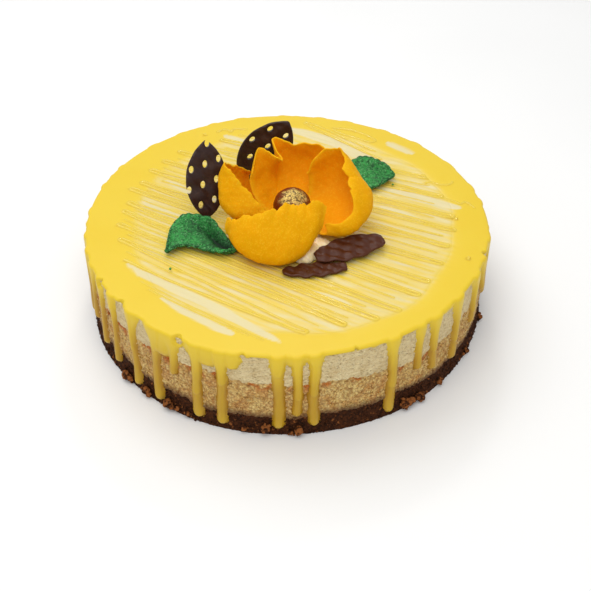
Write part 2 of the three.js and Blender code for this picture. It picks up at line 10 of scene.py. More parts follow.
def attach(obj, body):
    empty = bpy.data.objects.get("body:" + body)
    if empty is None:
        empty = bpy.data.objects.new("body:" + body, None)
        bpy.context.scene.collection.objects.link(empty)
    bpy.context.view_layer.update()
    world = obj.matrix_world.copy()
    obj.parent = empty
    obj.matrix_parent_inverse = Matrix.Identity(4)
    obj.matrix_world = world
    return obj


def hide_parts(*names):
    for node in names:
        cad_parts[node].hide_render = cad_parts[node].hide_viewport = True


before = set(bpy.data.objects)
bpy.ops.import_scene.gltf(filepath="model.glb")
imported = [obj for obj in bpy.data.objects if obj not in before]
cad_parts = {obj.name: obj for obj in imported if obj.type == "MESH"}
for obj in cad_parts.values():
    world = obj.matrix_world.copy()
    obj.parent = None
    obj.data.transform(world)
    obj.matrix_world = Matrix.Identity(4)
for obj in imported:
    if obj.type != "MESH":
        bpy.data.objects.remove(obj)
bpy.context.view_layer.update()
mm = 0.001
print("frame loaded")


# Numbers and curves

def chance(index, kind):
    # a repeatable number from 0 to 1, the same that the solids use
    wave = math.sin(index * 12.9898 + kind * 78.233) * 43758.5453
    return wave - math.floor(wave)


def smooth(low, high, value):
    t = np.clip((value - low) / (high - low), 0.0, 1.0)
    return t * t * (3.0 - 2.0 * t)


def ripple(points, size, seed):
    # smooth random waves through space, together mostly between -1 and 1
    waves = 10
    random = np.random.default_rng(seed)
    total = np.zeros(points.shape[:-1])
    for _ in range(waves):
        direction = random.normal(size=3)
        direction *= 2.0 * math.pi * random.uniform(0.6, 1.5) / (size * np.linalg.norm(direction))
        total += np.sin(points @ direction + random.uniform(0.0, 2.0 * math.pi))
    return total / math.sqrt(waves)


def curveThrough(rows, samples):
    # centripetal curve through points, sampled at shares of its spans from 0 to 1
    points = np.array(rows, float)
    points = np.vstack([2 * points[0] - points[1], points, 2 * points[-1] - points[-2]])
    spans = len(points) - 3
    share = np.asarray(samples, float) * spans
    span = np.minimum(share.astype(int), spans - 1)
    t = (share - span)[:, None]
    a, b, c, d = (points[span + k] for k in range(4))
    stepA, stepB, stepC = (
        np.maximum(np.linalg.norm(q - p, axis=1, keepdims=True), 1e-6) ** 0.5
        for p, q in ((a, b), (b, c), (c, d))
    )
    leave = ((b - a) / stepA - (c - a) / (stepA + stepB) + (c - b) / stepB) * stepB
    arrive = ((c - b) / stepB - (d - b) / (stepB + stepC) + (d - c) / stepC) * stepB
    return (
        b + leave * t + (3 * (c - b) - 2 * leave - arrive) * t**2
        + (2 * (b - c) + leave + arrive) * t**3
    )


def stacked(x, y, z):
    # arrays of coordinates as one array of places
    return np.stack(np.broadcast_arrays(x, y, z), axis=-1)


def roundAngles(columns):
    return np.linspace(0.0, 2.0 * math.pi, columns, endpoint=False)


# Meshes

def pieceName(node):
    # a node's name in the script's own manner, as petalLeft for petal_left
    first, *others = node.split("_")
    return first + "".join(part.title() for part in others)


def meshPiece(name, places, faces, material=None):
    mesh = bpy.data.meshes.new(name)
    mesh.from_pydata((np.asarray(places, float) * mm).tolist(), [], faces)
    mesh.validate()
    mesh.shade_smooth()
    if material:
        mesh.materials.append(material)
    piece = bpy.data.objects.new(name, mesh)
    bpy.context.scene.collection.objects.link(piece)
    return piece


def storeValue(piece, name, values):
    attribute = piece.data.attributes.new(name, "FLOAT", "POINT")
    attribute.data.foreach_set("value", np.asarray(values, np.float32).ravel())


def finishPiece(piece, slotName, *nodes):
    # nodes are those of the solids that the piece takes the place of
    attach(piece, "root")
    if nodes:
        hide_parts(*nodes)


def gridQuads(rows, columns, closed=False):
    # corners of the cells of a grid of points, anticlockwise with columns to the right, rows up
    cells = columns if closed else columns - 1
    row, column = np.meshgrid(np.arange(rows - 1), np.arange(cells), indexing="ij")
    low, high = row * columns, (row + 1) * columns
    after = (column + 1) % columns
    return np.stack([low + column, low + after, high + after, high + column], axis=-1).reshape(-1, 4)


def cappedGrid(rows, columns, first=0):
    # faces of a closed grid of points; the middle points below and above it come after the grid
    low = first + rows * columns
    last = low - columns
    faces = (gridQuads(rows, columns, True) + first).tolist()
    for k in range(columns):
        after = (k + 1) % columns
        faces.append((low, first + after, first + k))
        faces.append((last + k, last + after, low + 1))
    return faces


def borderOf(quads):
    # edges that belong to one cell only, in that cell's direction
    edges = np.concatenate([quads[:, [k, (k + 1) % 4]] for k in range(4)])
    keys = np.sort(edges, axis=1)
    keys = keys[:, 0].astype(np.int64) * (keys.max() + 1) + keys[:, 1]
    _, first, counts = np.unique(keys, return_index=True, return_counts=True)
    return edges[first[counts == 1]]


def shell(front, back, quads):
    # a closed body between two sheets that share their cells
    used = np.unique(quads)
    place = np.full(len(front), -1)
    place[used] = np.arange(len(used))
    cells = place[quads]
    count = len(used)
    border = borderOf(cells)
    walls = np.stack([border[:, 1], border[:, 0], border[:, 0] + count, border[:, 1] + count], axis=1)
    faces = np.concatenate([cells, cells[:, ::-1] + count, walls])
    return np.concatenate([front[used], back[used]]), faces.tolist(), used


def thickSheet(places, thickness, edgeSteps):
    # a closed sheet with rounded edges round a grid of points, rows up and columns to the right
    rows, columns = places.shape[:2]
    across = np.gradient(places, axis=1)
    upward = np.gradient(places, axis=0)
    normals = np.cross(across, upward)
    normals /= np.maximum(np.linalg.norm(normals, axis=2, keepdims=True), 1e-9)
    half = (np.broadcast_to(thickness, (rows, columns)) / 2)[:, :, None]
    count = rows * columns
    quads = gridQuads(rows, columns)
    index = np.arange(count).reshape(rows, columns)
    loop = np.concatenate([index[0, :-1], index[:-1, -1], index[-1, :0:-1], index[:0:-1, 0]])
    middle = places.reshape(-1, 3)[loop]
    facing = normals.reshape(-1, 3)[loop]
    along = np.roll(middle, -1, axis=0) - np.roll(middle, 1, axis=0)
    outward = np.cross(along, facing)
    outward /= np.maximum(np.linalg.norm(outward, axis=1, keepdims=True), 1e-9)
    reach = half.reshape(-1, 1)[loop]
    sheets = [(places + normals * half).reshape(-1, 3), (places - normals * half).reshape(-1, 3)]
    rings = [loop]
    for k in range(1, edgeSteps):
        turn = math.pi * k / edgeSteps
        rings.append(np.arange(len(loop)) + 2 * count + (k - 1) * len(loop))
        sheets.append(middle + reach * (facing * math.cos(turn) + outward * math.sin(turn)))
    rings.append(loop + count)
    faces = [quads, quads[:, ::-1] + count]
    for upper, lower in zip(rings[:-1], rings[1:]):
        faces.append(np.stack([upper, lower, np.roll(lower, -1), np.roll(upper, -1)], axis=1))
    return np.concatenate(sheets), np.concatenate(faces).tolist()


# Nodes

def feed(tree, socket, value):
    # links a socket to an output, or sets its value
    if isinstance(value, bpy.types.NodeSocket):
        tree.links.new(value, socket)
    else:
        socket.default_value = value


def addNode(tree, kind, values=None, **settings):
    # values go to the socket with that identifier, or else with that name
    node = tree.nodes.new(kind)
    for key, value in settings.items():
        setattr(node, key, value)
    for key, value in (values or {}).items():
        named = [socket for socket in node.inputs if socket.name == key]
        found = [socket for socket in node.inputs if socket.identifier == key] or named
        feed(tree, found[0], value)
    return node


def outputOf(node, key):
    return [socket for socket in node.outputs if key in (socket.identifier, socket.name)][0]


def maths(tree, operation, *values):
    node = addNode(tree, "ShaderNodeMath", operation=operation)
    for socket, value in zip(node.inputs, values):
        feed(tree, socket, value)
    return node.outputs[0]


def times(tree, first, second):
    return maths(tree, "MULTIPLY", first, second)


def plus(tree, first, second):
    return maths(tree, "ADD", first, second)


def fieldOf(tree, name):
    # a value that the mesh carries, read in a geometry tree
    return outputOf(addNode(tree, "GeometryNodeInputNamedAttribute", {"Name": name}), "Attribute")


def noiseOf(tree, place, scale, detail):
    values = {"Vector": place, "Scale": scale, "Detail": detail}
    return addNode(tree, "ShaderNodeTexNoise", values).outputs["Fac"]


def ramp(tree, value, low, high, top=1.0, kind="SMOOTHSTEP"):
    # rises from 0 at low to the top value at high
    values = {"Value": value, "From Min": low, "From Max": high, "To Max": top}
    return addNode(tree, "ShaderNodeMapRange", values, interpolation_type=kind).outputs["Result"]


def scaled(tree, vector, factor):
    node = addNode(tree, "ShaderNodeVectorMath", {"Vector": vector, "Scale": factor}, operation="SCALE")
    return node.outputs["Vector"]


def newGroup(name, kind, inputs, outputs):
    tree = bpy.data.node_groups.new(name, kind)
    for label, socketKind, value in inputs:
        socket = tree.interface.new_socket(label, in_out="INPUT", socket_type="NodeSocket" + socketKind)
        if value is not None:
            socket.default_value = value
    for label, socketKind in outputs:
        tree.interface.new_socket(label, in_out="OUTPUT", socket_type="NodeSocket" + socketKind)
    return tree, addNode(tree, "NodeGroupInput").outputs, addNode(tree, "NodeGroupOutput").inputs


def finishTree(tree, geometry, given, wanted):
    # the end of each geometry tree: real geometry in the material given
    real = addNode(tree, "GeometryNodeRealizeInstances", {"Geometry": geometry}).outputs["Geometry"]
    dressed = addNode(tree, "GeometryNodeSetMaterial", {"Geometry": real, "Material": given["Material"]})
    tree.links.new(dressed.outputs["Geometry"], wanted["Geometry"])
    return tree


def settle(piece):
    # keeps the result of a piece's modifiers as its plain mesh
    graph = bpy.context.evaluated_depsgraph_get()
    mesh = bpy.data.meshes.new_from_object(
        piece.evaluated_get(graph), preserve_all_data_layers=True, depsgraph=graph
    )
    piece.modifiers.clear()
    piece.data = mesh


def applyTree(piece, tree, values):
    # runs a geometry tree on a piece
    modifier = piece.modifiers.new(tree.name, "NODES")
    modifier.node_group = tree
    for item in tree.interface.items_tree:
        if item.in_out == "INPUT" and item.name in values:
            modifier[item.identifier] = values[item.name]
    settle(piece)


# Camera, light and floor

view = {
    "place": (0.0, -485.94, 411.77),
    "forward": (0.00836, 0.76026, -0.64956),
    "right": (0.99996, -0.00692, 0.00478),
    "up": (0.00086, 0.64958, 0.76030),
    "lens": 60.95,
    "sensor": 36.0,
}

studio = {
    "lights": (   # place, aimed at the cake, width, power in watts
        ((-320.0, 360.0, 950.0), 800.0, 3.2),
        ((-70.0, -480.0, 980.0), 900.0, 4.25),
        ((30.0, 700.0, 740.0), 140.0, 0.8),
    ),
    "sky": 0.62,
    "floorSize": 6000.0,
    "floorColour": (246, 246, 245),
}


def tint(red, green, blue):
    # a colour as a screen shows it, from 0 to 255, made linear
    def linear(channel):
        level = channel / 255.0
        return level / 12.92 if level <= 0.04045 else ((level + 0.055) / 1.055) ** 2.4
    return (linear(red), linear(green), linear(blue), 1.0)


def makeCamera():
    data = bpy.data.cameras.new("camera")
    data.lens = view["lens"]
    data.sensor_width = view["sensor"]
    data.clip_end = 20.0
    camera = bpy.data.objects.new("camera", data)
    backward, place = [-part for part in view["forward"]], [part * mm for part in view["place"]]
    columns = [view["right"], view["up"], backward, place]
    rows = [[column[k] for column in columns] for k in range(3)] + [[0.0, 0.0, 0.0, 1.0]]
    camera.matrix_world = Matrix(rows)
    bpy.context.scene.collection.objects.link(camera)
    bpy.context.scene.camera = camera


def makeStudio():
    scene = bpy.context.scene
    scene.view_settings.view_transform = "Standard"
    world = bpy.data.worlds.new("studio")
    world.use_nodes = True
    background = world.node_tree.nodes["Background"]
    background.inputs["Color"].default_value = (1.0, 1.0, 1.0, 1.0)
    background.inputs["Strength"].default_value = studio["sky"]
    scene.world = world
    for number, (place, width, power) in enumerate(studio["lights"]):
        data = bpy.data.lights.new("softbox%d" % number, "AREA")
        data.shape = "DISK"
        data.size = width * mm
        data.energy = power
        light = bpy.data.objects.new(data.name, data)
        light.location = [p * mm for p in place]
        light.rotation_euler = (-light.location).to_track_quat("-Z", "Y").to_euler()
        scene.collection.objects.link(light)
    size = studio["floorSize"] / 2
    corners = [(-size, -size, 0), (size, -size, 0), (size, size, 0), (-size, size, 0)]
    floor = meshPiece("floor", corners, [(0, 1, 2, 3)], floorMaterial())


# Materials

def startMaterial(name, values):
    material = bpy.data.materials.new(name)
    material.use_nodes = True
    tree = material.node_tree
    tree.nodes.clear()
    shader = addNode(tree, "ShaderNodeBsdfPrincipled", values)
    addNode(tree, "ShaderNodeOutputMaterial", {"Surface": shader.outputs["BSDF"]})
    place = addNode(tree, "ShaderNodeTexCoord").outputs["Object"]
    return material, tree, shader, place


def join(tree, socket, shader, name):
    tree.links.new(socket, shader.inputs[name])


def blendColours(tree, share, first, second):
    # a tuple is a colour as a screen shows it
    first = tint(*first) if isinstance(first, tuple) else first
    second = tint(*second) if isinstance(second, tuple) else second
    values = {"Factor_Float": share, "A_Color": first, "B_Color": second}
    return outputOf(addNode(tree, "ShaderNodeMix", values, data_type="RGBA"), "Result_Color")


def roughen(tree, shader, height, depth, strength):
    # gives a shader a relief, as deep as depth in millimetres
    values = {"Height": height, "Distance": depth * mm, "Strength": strength}
    join(tree, addNode(tree, "ShaderNodeBump", values).outputs["Normal"], shader, "Normal")


def readValue(tree, name):
    # a value that the mesh carries, read in a material
    return addNode(tree, "ShaderNodeAttribute", attribute_name=name).outputs["Fac"]


def makeGrainGroup():
    # lumps of one size: a random shade for each, their height, and finer noise
    tree, given, wanted = newGroup(
        "grain", "ShaderNodeTree",
        [("Vector", "Vector", None), ("Size", "Float", 1.0)],
        [("Shade", "Float"), ("Height", "Float"), ("Fine", "Float")],
    )
    scale = maths(tree, "DIVIDE", 1.0 / mm, given["Size"])
    cells = addNode(tree, "ShaderNodeTexVoronoi", {"Vector": given["Vector"], "Scale": scale})
    shade = addNode(tree, "ShaderNodeSeparateColor", {"Color": cells.outputs["Color"]}).outputs["Red"]
    fine = noiseOf(tree, given["Vector"], times(tree, scale, 1.3), 4.0)
    dome = maths(tree, "SUBTRACT", 1.0, cells.outputs["Distance"])
    height = plus(tree, times(tree, dome, 0.6), times(tree, fine, 0.5))
    tree.links.new(shade, wanted["Shade"])
    tree.links.new(height, wanted["Height"])
    tree.links.new(fine, wanted["Fine"])
    return tree


def makePatchGroup():
    # broad soft patches of noise, cut between two levels
    tree, given, wanted = newGroup(
        "patches", "ShaderNodeTree",
        [
            ("Vector", "Vector", None), ("Size", "Float", 10.0),
            ("Low", "Float", 0.4), ("High", "Float", 0.6),
        ],
        [("Mask", "Float")],
    )
    noise = noiseOf(tree, given["Vector"], maths(tree, "DIVIDE", 1.0 / mm, given["Size"]), 3.0)
    tree.links.new(ramp(tree, noise, given["Low"], given["High"]), wanted["Mask"])
    return tree


grainGroup = makeGrainGroup()
patchGroup = makePatchGroup()


def grainsOf(tree, place, size):
    values = {"Vector": place, "Size": size}
    return addNode(tree, "ShaderNodeGroup", values, node_tree=grainGroup).outputs


def patchesOf(tree, place, size, low, high):
    values = {"Vector": place, "Size": size, "Low": low, "High": high}
    return addNode(tree, "ShaderNodeGroup", values, node_tree=patchGroup).outputs["Mask"]


def floorMaterial():
    material, tree, shader, place = startMaterial("floor", {"Roughness": 0.6})
    soft = patchesOf(tree, place, 300.0, 0.3, 0.7)
    pale = studio["floorColour"]
    shaded = [0.97 * part for part in tint(*pale)[:3]] + [1.0]
    join(tree, blendColours(tree, soft, pale, shaded), shader, "Base Color")
    return material


glazeLook = {
    "yellow": (228, 196, 47),
    "deep": (225, 190, 32),
    "pale": (221, 207, 156),
    # brown of the side under the drips, and the colour of the painted shade beside the threads
    "amber": (166, 116, 22),
    "roughness": 0.4,
    "threadRoughness": 0.06,
}


def glazeMaterial():
    # where glaze is thin the cream below shows through on the top, by the value thin on the mesh,
    # and the brown side shows through the drips, by the value amber, which also paints shade beside the
    # threads
    material, tree, shader, place = startMaterial("glaze", {
        "Subsurface Weight": 0.1, "Subsurface Scale": 1.0 * mm,
        "Subsurface Radius": (3.0, 2.0, 0.6), "Specular IOR Level": 0.3,
    })
    patches = patchesOf(tree, place, 34.0, 0.35, 0.75)
    share = times(tree, patches, 0.4)
    body = blendColours(tree, share, glazeLook["yellow"], glazeLook["deep"])
    thread = readValue(tree, "thread")
    thin = maths(tree, "MAXIMUM", readValue(tree, "thin"), times(tree, thread, 0.14))
    body = blendColours(tree, thin, body, glazeLook["pale"])
    # the value amber: brown under the drips, and painted shade beside the threads
    body = blendColours(tree, readValue(tree, "amber"), body, glazeLook["amber"])
    join(tree, body, shader, "Base Color")
    span = glazeLook["threadRoughness"] - glazeLook["roughness"]
    gloss = times(tree, thread, span)
    join(tree, plus(tree, glazeLook["roughness"], gloss), shader, "Roughness")
    roughen(tree, shader, noiseOf(tree, place, 110.0, 2.0), 0.25, 0.25)
    return material


creamLook = {
    "light": (232, 214, 166),
    "dark": (196, 168, 116),
    "pit": (160, 122, 72),
    "pitSize": 1.5,
    "pitShare": 0.3,
}


def creamMaterial():
    # soft patches and grains, with scattered small pits
    material, tree, shader, place = startMaterial("cream", {
        "Roughness": 0.55, "Subsurface Weight": 0.08, "Subsurface Scale": 1.0 * mm,
        "Subsurface Radius": (3.0, 2.2, 1.2), "Specular IOR Level": 0.3,
    })
    stretch = {"Vector": place, "Scale": (1.0, 1.0, 2.4)}
    flat = addNode(tree, "ShaderNodeMapping", stretch).outputs["Vector"]
    patches = patchesOf(tree, flat, 7.0, 0.35, 0.7)
    scale = 1.0 / mm / creamLook["pitSize"]
    cells = addNode(tree, "ShaderNodeTexVoronoi", {"Vector": flat, "Scale": scale})
    pick = addNode(tree, "ShaderNodeSeparateColor", {"Color": cells.outputs["Color"]}).outputs["Green"]
    chosen = maths(tree, "LESS_THAN", pick, creamLook["pitShare"])
    pits = times(tree, chosen, ramp(tree, cells.outputs["Distance"], 0.42, 0.18))
    grain = grainsOf(tree, place, 0.9)
    grains = times(tree, grain["Shade"], 0.55)
    share = plus(tree, times(tree, patches, 0.4), grains)
    body = blendColours(tree, share, creamLook["light"], creamLook["dark"])
    body = blendColours(tree, times(tree, pits, 0.5), body, creamLook["pit"])
    join(tree, body, shader, "Base Color")
    height = maths(tree, "SUBTRACT", grain["Height"], times(tree, pits, 0.8))
    roughen(tree, shader, height, 0.7, 1.0)
    return material


bakedLook = {
    "light": (242, 216, 142),
    "tan": (208, 160, 80),
    "brown": (146, 86, 28),
    "toast": (200, 112, 30),
    "foot": (92, 52, 22),
}


def bakedMaterial():
    # pale lumps with browner gaps, toasted in patches and along the top, browner towards its foot
    # by the value level on the mesh
    material, tree, shader, place = startMaterial("baked", {
        "Roughness": 0.55, "Specular IOR Level": 0.35,
    })
    grain = grainsOf(tree, place, 1.5)
    fine = grainsOf(tree, place, 0.8)
    toast = patchesOf(tree, place, 7.0, 0.46, 0.62)
    pale = patchesOf(tree, place, 12.0, 0.5, 0.66)
    level = readValue(tree, "level")
    top = ramp(tree, level, 0.72, 0.97, 0.75)
    foot = ramp(tree, level, 0.24, 0.02)
    gaps = ramp(tree, grain["Height"], 0.66, 0.42, kind="LINEAR")
    fineShade = times(tree, fine["Shade"], 0.3)
    shade = plus(tree, times(tree, grain["Shade"], 0.7), fineShade)
    body = blendColours(tree, shade, bakedLook["tan"], bakedLook["light"])
    body = blendColours(tree, times(tree, pale, 0.55), body, bakedLook["light"])
    toasted = times(tree, toast, plus(tree, 0.3, top))
    body = blendColours(tree, toasted, body, bakedLook["toast"])
    body = blendColours(tree, times(tree, gaps, 0.58), body, bakedLook["brown"])
    body = blendColours(tree, times(tree, foot, 0.85), body, bakedLook["foot"])
    join(tree, body, shader, "Base Color")
    height = plus(tree, grain["Height"], fine["Height"])
    roughen(tree, shader, height, 0.9, 1.0)
    return material


crumbLook = {
    "dark": (40, 19, 8),
    "brown": (78, 41, 18),
    "amber": (146, 88, 44),
}
amberShares = {"crumb": 0.15, "amberCrumb": 0.8, "brownCrumb": 0.3}   # light, orange-brown parts


def crumbMaterial(name):
    material, tree, shader, place = startMaterial(name, {"Roughness": 0.85, "Specular IOR Level": 0.12})
    grain = grainsOf(tree, place, 1.2)
    low = 0.66 - 0.3 * amberShares[name]
    amber = patchesOf(tree, place, 2.4, low, low + 0.14)
    body = blendColours(tree, grain["Shade"], crumbLook["dark"], crumbLook["brown"])
    body = blendColours(tree, amber, body, crumbLook["amber"])
    join(tree, body, shader, "Base Color")
    roughen(tree, shader, grain["Height"], 0.9, 1.0)
    return material


petalLook = {
    "outside": (228, 163, 1),
    # the colour of the painted bounce light on the inner face of the cup, also a patch tone outside
    "inside": (240, 157, 3),
    # the colour of the painted highlight along the rim
    "rim": (242, 180, 16),
    "speck": (252, 200, 48),
}


def petalMaterial():
    # painted bounce light: the inner face of the cup is a deeper orange than the outside, by the value
    # inside on the mesh, and a painted highlight lightens the rim, by the value rim
    material, tree, shader, place = startMaterial("sugarPaste", {
        "Roughness": 0.6, "Subsurface Weight": 0.1, "Subsurface Scale": 1.0 * mm,
        "Subsurface Radius": (3.0, 1.2, 0.2), "Specular IOR Level": 0.06,
    })
    grain = grainsOf(tree, place, 0.5)
    patches = patchesOf(tree, place, 22.0, 0.35, 0.7)
    share = times(tree, patches, 0.3)
    outside = blendColours(tree, share, petalLook["outside"], petalLook["inside"])
    # painted bounce light on the inner face, by the value inside
    body = blendColours(tree, readValue(tree, "inside"), outside, petalLook["inside"])
    # painted highlight along the rim, by the value rim
    body = blendColours(tree, readValue(tree, "rim"), body, petalLook["rim"])
    speck = times(tree, maths(tree, "GREATER_THAN", grain["Shade"], 0.85), 0.35)
    body = blendColours(tree, speck, body, petalLook["speck"])
    join(tree, body, shader, "Base Color")
    roughen(tree, shader, grain["Height"], 0.25, 0.7)
    return material


leafLook = {
    "light": (58, 162, 74),
    "dark": (8, 66, 24),
    "speck": (132, 196, 132),
    # the colour of the painted shade in the hollow
    "hollow": (2, 18, 6),
}


def leafMaterial():
    # darker at the cut edge, by the value edge on the mesh, and painted shade in the hollow, by the
    # value deep
    material, tree, shader, place = startMaterial("leafSugar", {
        "Roughness": 0.6, "Specular IOR Level": 0.3,
    })
    grain = grainsOf(tree, place, 1.05)
    patches = patchesOf(tree, place, 9.0, 0.35, 0.7)
    grains = times(tree, grain["Shade"], 0.75)
    share = plus(tree, times(tree, patches, 0.25), grains)
    share = plus(tree, share, times(tree, readValue(tree, "edge"), 0.3))
    body = blendColours(tree, share, leafLook["light"], leafLook["dark"])
    speck = times(tree, maths(tree, "GREATER_THAN", grain["Fine"], 0.6), 0.55)
    body = blendColours(tree, speck, body, leafLook["speck"])
    # painted shade in the hollow
    hollow = times(tree, readValue(tree, "deep"), 0.96)
    join(tree, blendColours(tree, hollow, body, leafLook["hollow"]), shader, "Base Color")
    roughen(tree, shader, grain["Height"], 0.8, 1.0)
    return material


chocolateLook = {   # colour, depth of the fine wavy lines in the face, share of the pale bloom
    "darkChocolate": ((50, 30, 26), 0.35, 0.4),
    "milkChocolate": ((78, 37, 17), 0.15, 0.1),
}
bloomColour = (84, 60, 50)


def chocolateMaterial(name):
    colour, emboss, bloom = chocolateLook[name]
    material, tree, shader, place = startMaterial(name, {"Roughness": 0.42, "Specular IOR Level": 0.28})
    patches = patchesOf(tree, place, 6.0, 0.45, 0.75)
    grain = grainsOf(tree, place, 1.6)
    share = times(tree, patches, bloom)
    body = blendColours(tree, share, colour, bloomColour)
    join(tree, body, shader, "Base Color")
    join(tree, plus(tree, 0.3, times(tree, patches, 0.2)), shader, "Roughness")
    waves = addNode(
        tree, "ShaderNodeTexWave", {"Vector": place, "Scale": 80.0, "Distortion": 3.0, "Detail": 1.0},
        wave_type="BANDS", bands_direction="DIAGONAL",
    ).outputs["Fac"]
    pressed = times(tree, waves, emboss)
    relief = plus(tree, pressed, times(tree, grain["Fine"], 0.25))
    roughen(tree, shader, relief, 1.0, 0.7)
    return material


pearlLook = {
    "chocolate": (112, 42, 6),
    "gold": (188, 150, 58),
    "flake": (242, 214, 130),
    "fleck": (62, 34, 12),
}


def pearlMaterial():
    # gold dust with dark flecks lies on the crown of the ball, by the value crown on the mesh
    material, tree, shader, place = startMaterial("pearl", {
        "Roughness": 0.4, "Specular IOR Level": 0.22, "Coat Weight": 0.05, "Coat Roughness": 0.25,
    })
    grain = grainsOf(tree, place, 0.7)
    waver = times(tree, maths(tree, "SUBTRACT", grain["Shade"], 0.5), 0.5)
    level = plus(tree, readValue(tree, "crown"), waver)
    dusted = ramp(tree, level, 0.58, 0.82, kind="LINEAR")
    gold = blendColours(tree, grain["Fine"], pearlLook["gold"], pearlLook["flake"])
    flecks = times(tree, maths(tree, "GREATER_THAN", grain["Shade"], 0.68), 0.8)
    gold = blendColours(tree, flecks, gold, pearlLook["fleck"])
    join(tree, blendColours(tree, dusted, pearlLook["chocolate"], gold), shader, "Base Color")
    join(tree, times(tree, dusted, 0.3), shader, "Metallic")
    roughen(tree, shader, grain["Height"], 0.25, 0.6)
    return material


dabLook = {
    "light": (244, 222, 176),
    "clear": (244, 218, 162),
}


def dabMaterial():
    material, tree, shader, place = startMaterial("dab", {
        "Roughness": 0.22, "Subsurface Weight": 0.3, "Subsurface Scale": 1.0 * mm,
        "Subsurface Radius": (4.0, 3.0, 1.5), "Specular IOR Level": 0.6,
    })
    patches = patchesOf(tree, place, 4.0, 0.35, 0.65)
    join(tree, blendColours(tree, patches, dabLook["light"], dabLook["clear"]), shader, "Base Color")
    roughen(tree, shader, patches, 0.25, 0.4)
    return material


# The cake's shape, the same as in its solids

cake = {
    "radius": 119.2,
    "crumbHeight": 12.0,
    "bakedHeight": 37.0,
    "creamHeight": 56.0,
    "glazeTop": 58.4,
    "combedTop": 57.7,
    "footFlare": 1.7,
}


def sideRadius(angle):
    return cake["radius"] + 0.45 * np.sin(3 * angle + 0.6) + 0.25 * np.sin(7 * angle + 2.1)


def footSpread(height):
    return cake["footFlare"] * np.maximum(0.0, 1.0 - height / cake["crumbHeight"]) ** 2


def tornLine(angle, depth, seed):
    # fine raggedness of the line between two layers
    ring = onSide(angle, cake["radius"], 0.0)
    return depth * (ripple(ring, 6.0, seed) + 0.5 * ripple(ring, 2.2, seed + 1))


def crumbLine(angle):
    return (
        cake["crumbHeight"] + 0.9 * np.sin(5 * angle + 1) + 0.8 * np.sin(17 * angle)
        + 0.5 * np.sin(31 * angle + 2) + tornLine(angle, 0.4, 3)
    )


def creamLine(angle):
    return (
        cake["bakedHeight"] + 2.8 * np.sin(2 * angle) + 0.9 * np.sin(9 * angle + 0.5)
        + 0.6 * np.sin(23 * angle + 1.5) + tornLine(angle, 0.6, 5)
    )


def onSide(angle, reach, height):
    return stacked(reach * np.cos(angle), reach * np.sin(angle), height)


# Layers

def makeReliefTree():
    # lumps and waves pushed out of a surface, as far as its value side allows
    tree, given, wanted = newGroup(
        "crumbRelief", "GeometryNodeTree",
        [
            ("Geometry", "Geometry", None), ("Grain Size", "Float", 1.0), ("Grain Depth", "Float", 0.0),
            ("Wave Size", "Float", 1.0), ("Wave Depth", "Float", 0.0), ("Material", "Material", None),
        ],
        [("Geometry", "Geometry")],
    )
    place = addNode(tree, "GeometryNodeInputPosition").outputs["Position"]
    normal = addNode(tree, "GeometryNodeInputNormal").outputs["Normal"]
    side = fieldOf(tree, "side")
    grainScale = maths(tree, "DIVIDE", 1.0, given["Grain Size"])
    cells = addNode(tree, "ShaderNodeTexVoronoi", {"Vector": place, "Scale": grainScale})
    dome = maths(tree, "SUBTRACT", 0.45, cells.outputs["Distance"])
    noise = noiseOf(tree, place, maths(tree, "DIVIDE", 1.0, given["Wave Size"]), 3.0)
    wave = maths(tree, "SUBTRACT", noise, 0.55)
    depth = plus(tree, times(tree, dome, given["Grain Depth"]), times(tree, wave, given["Wave Depth"]))
    offset = scaled(tree, normal, times(tree, depth, side))
    moved = addNode(tree, "GeometryNodeSetPosition", {"Geometry": given["Geometry"], "Offset": offset})
    return finishTree(tree, moved.outputs["Geometry"], given, wanted)


layers = {   # node, grain size and depth, wave size and depth
    "crumbBase": ("crumb_base", 1.7, 0.9, 5.0, 1.2),
    "bakedLayer": ("baked_layer", 1.9, 1.0, 4.5, 1.5),
    "creamLayer": ("cream_layer", 1.8, 0.55, 4.2, 1.3),
}

layerForm = {
    "columns": 1440,
    "rise": 0.62,      # height of a row of facets
    "edge": 0.3,       # width of the bevel at both edges
    "plate": 12.0,     # width of the outer ring of the top and the underside
    "depth": 0.3,      # the side lies in by as much, and its relief stands out again
    "lap": 0.3,        # the layers reach into one another
    "creamRise": 0.4,
}


def roundLayer(name, foot, head):
    # a full round layer; foot and head are heights by angle
    columns, edge, plate = (layerForm[key] for key in ("columns", "edge", "plate"))
    angle = roundAngles(columns)
    low, high = foot(angle), head(angle)
    rows = int(round(np.mean(high - low) / layerForm["rise"]))
    rings = [(plate, low, 0.0), (edge, low, 0.3)]   # distance inwards, height, share of the relief
    rings += [(0.0, low + edge + (high - low - 2 * edge) * k / rows, 1.0) for k in range(rows + 1)]
    rings += [(edge, high, 0.3), (plate, high, 0.0)]
    places = [
        onSide(angle, sideRadius(angle) + footSpread(height) - layerForm["depth"] - inset, height)
        for inset, height, _ in rings
    ]
    side = np.repeat([weight for _, _, weight in rings] + [0.0], [columns] * len(rings) + [2])
    level = [(height - low) / (high - low) for _, height, _ in rings] + [[0.0, 1.0]]
    middle = [[0.0, 0.0, float(np.mean(low))], [0.0, 0.0, float(np.mean(high))]]
    piece = meshPiece(name, np.concatenate(places + [middle]), cappedGrid(len(rings), columns))
    storeValue(piece, "side", side)
    storeValue(piece, "level", np.concatenate(level))
    return piece


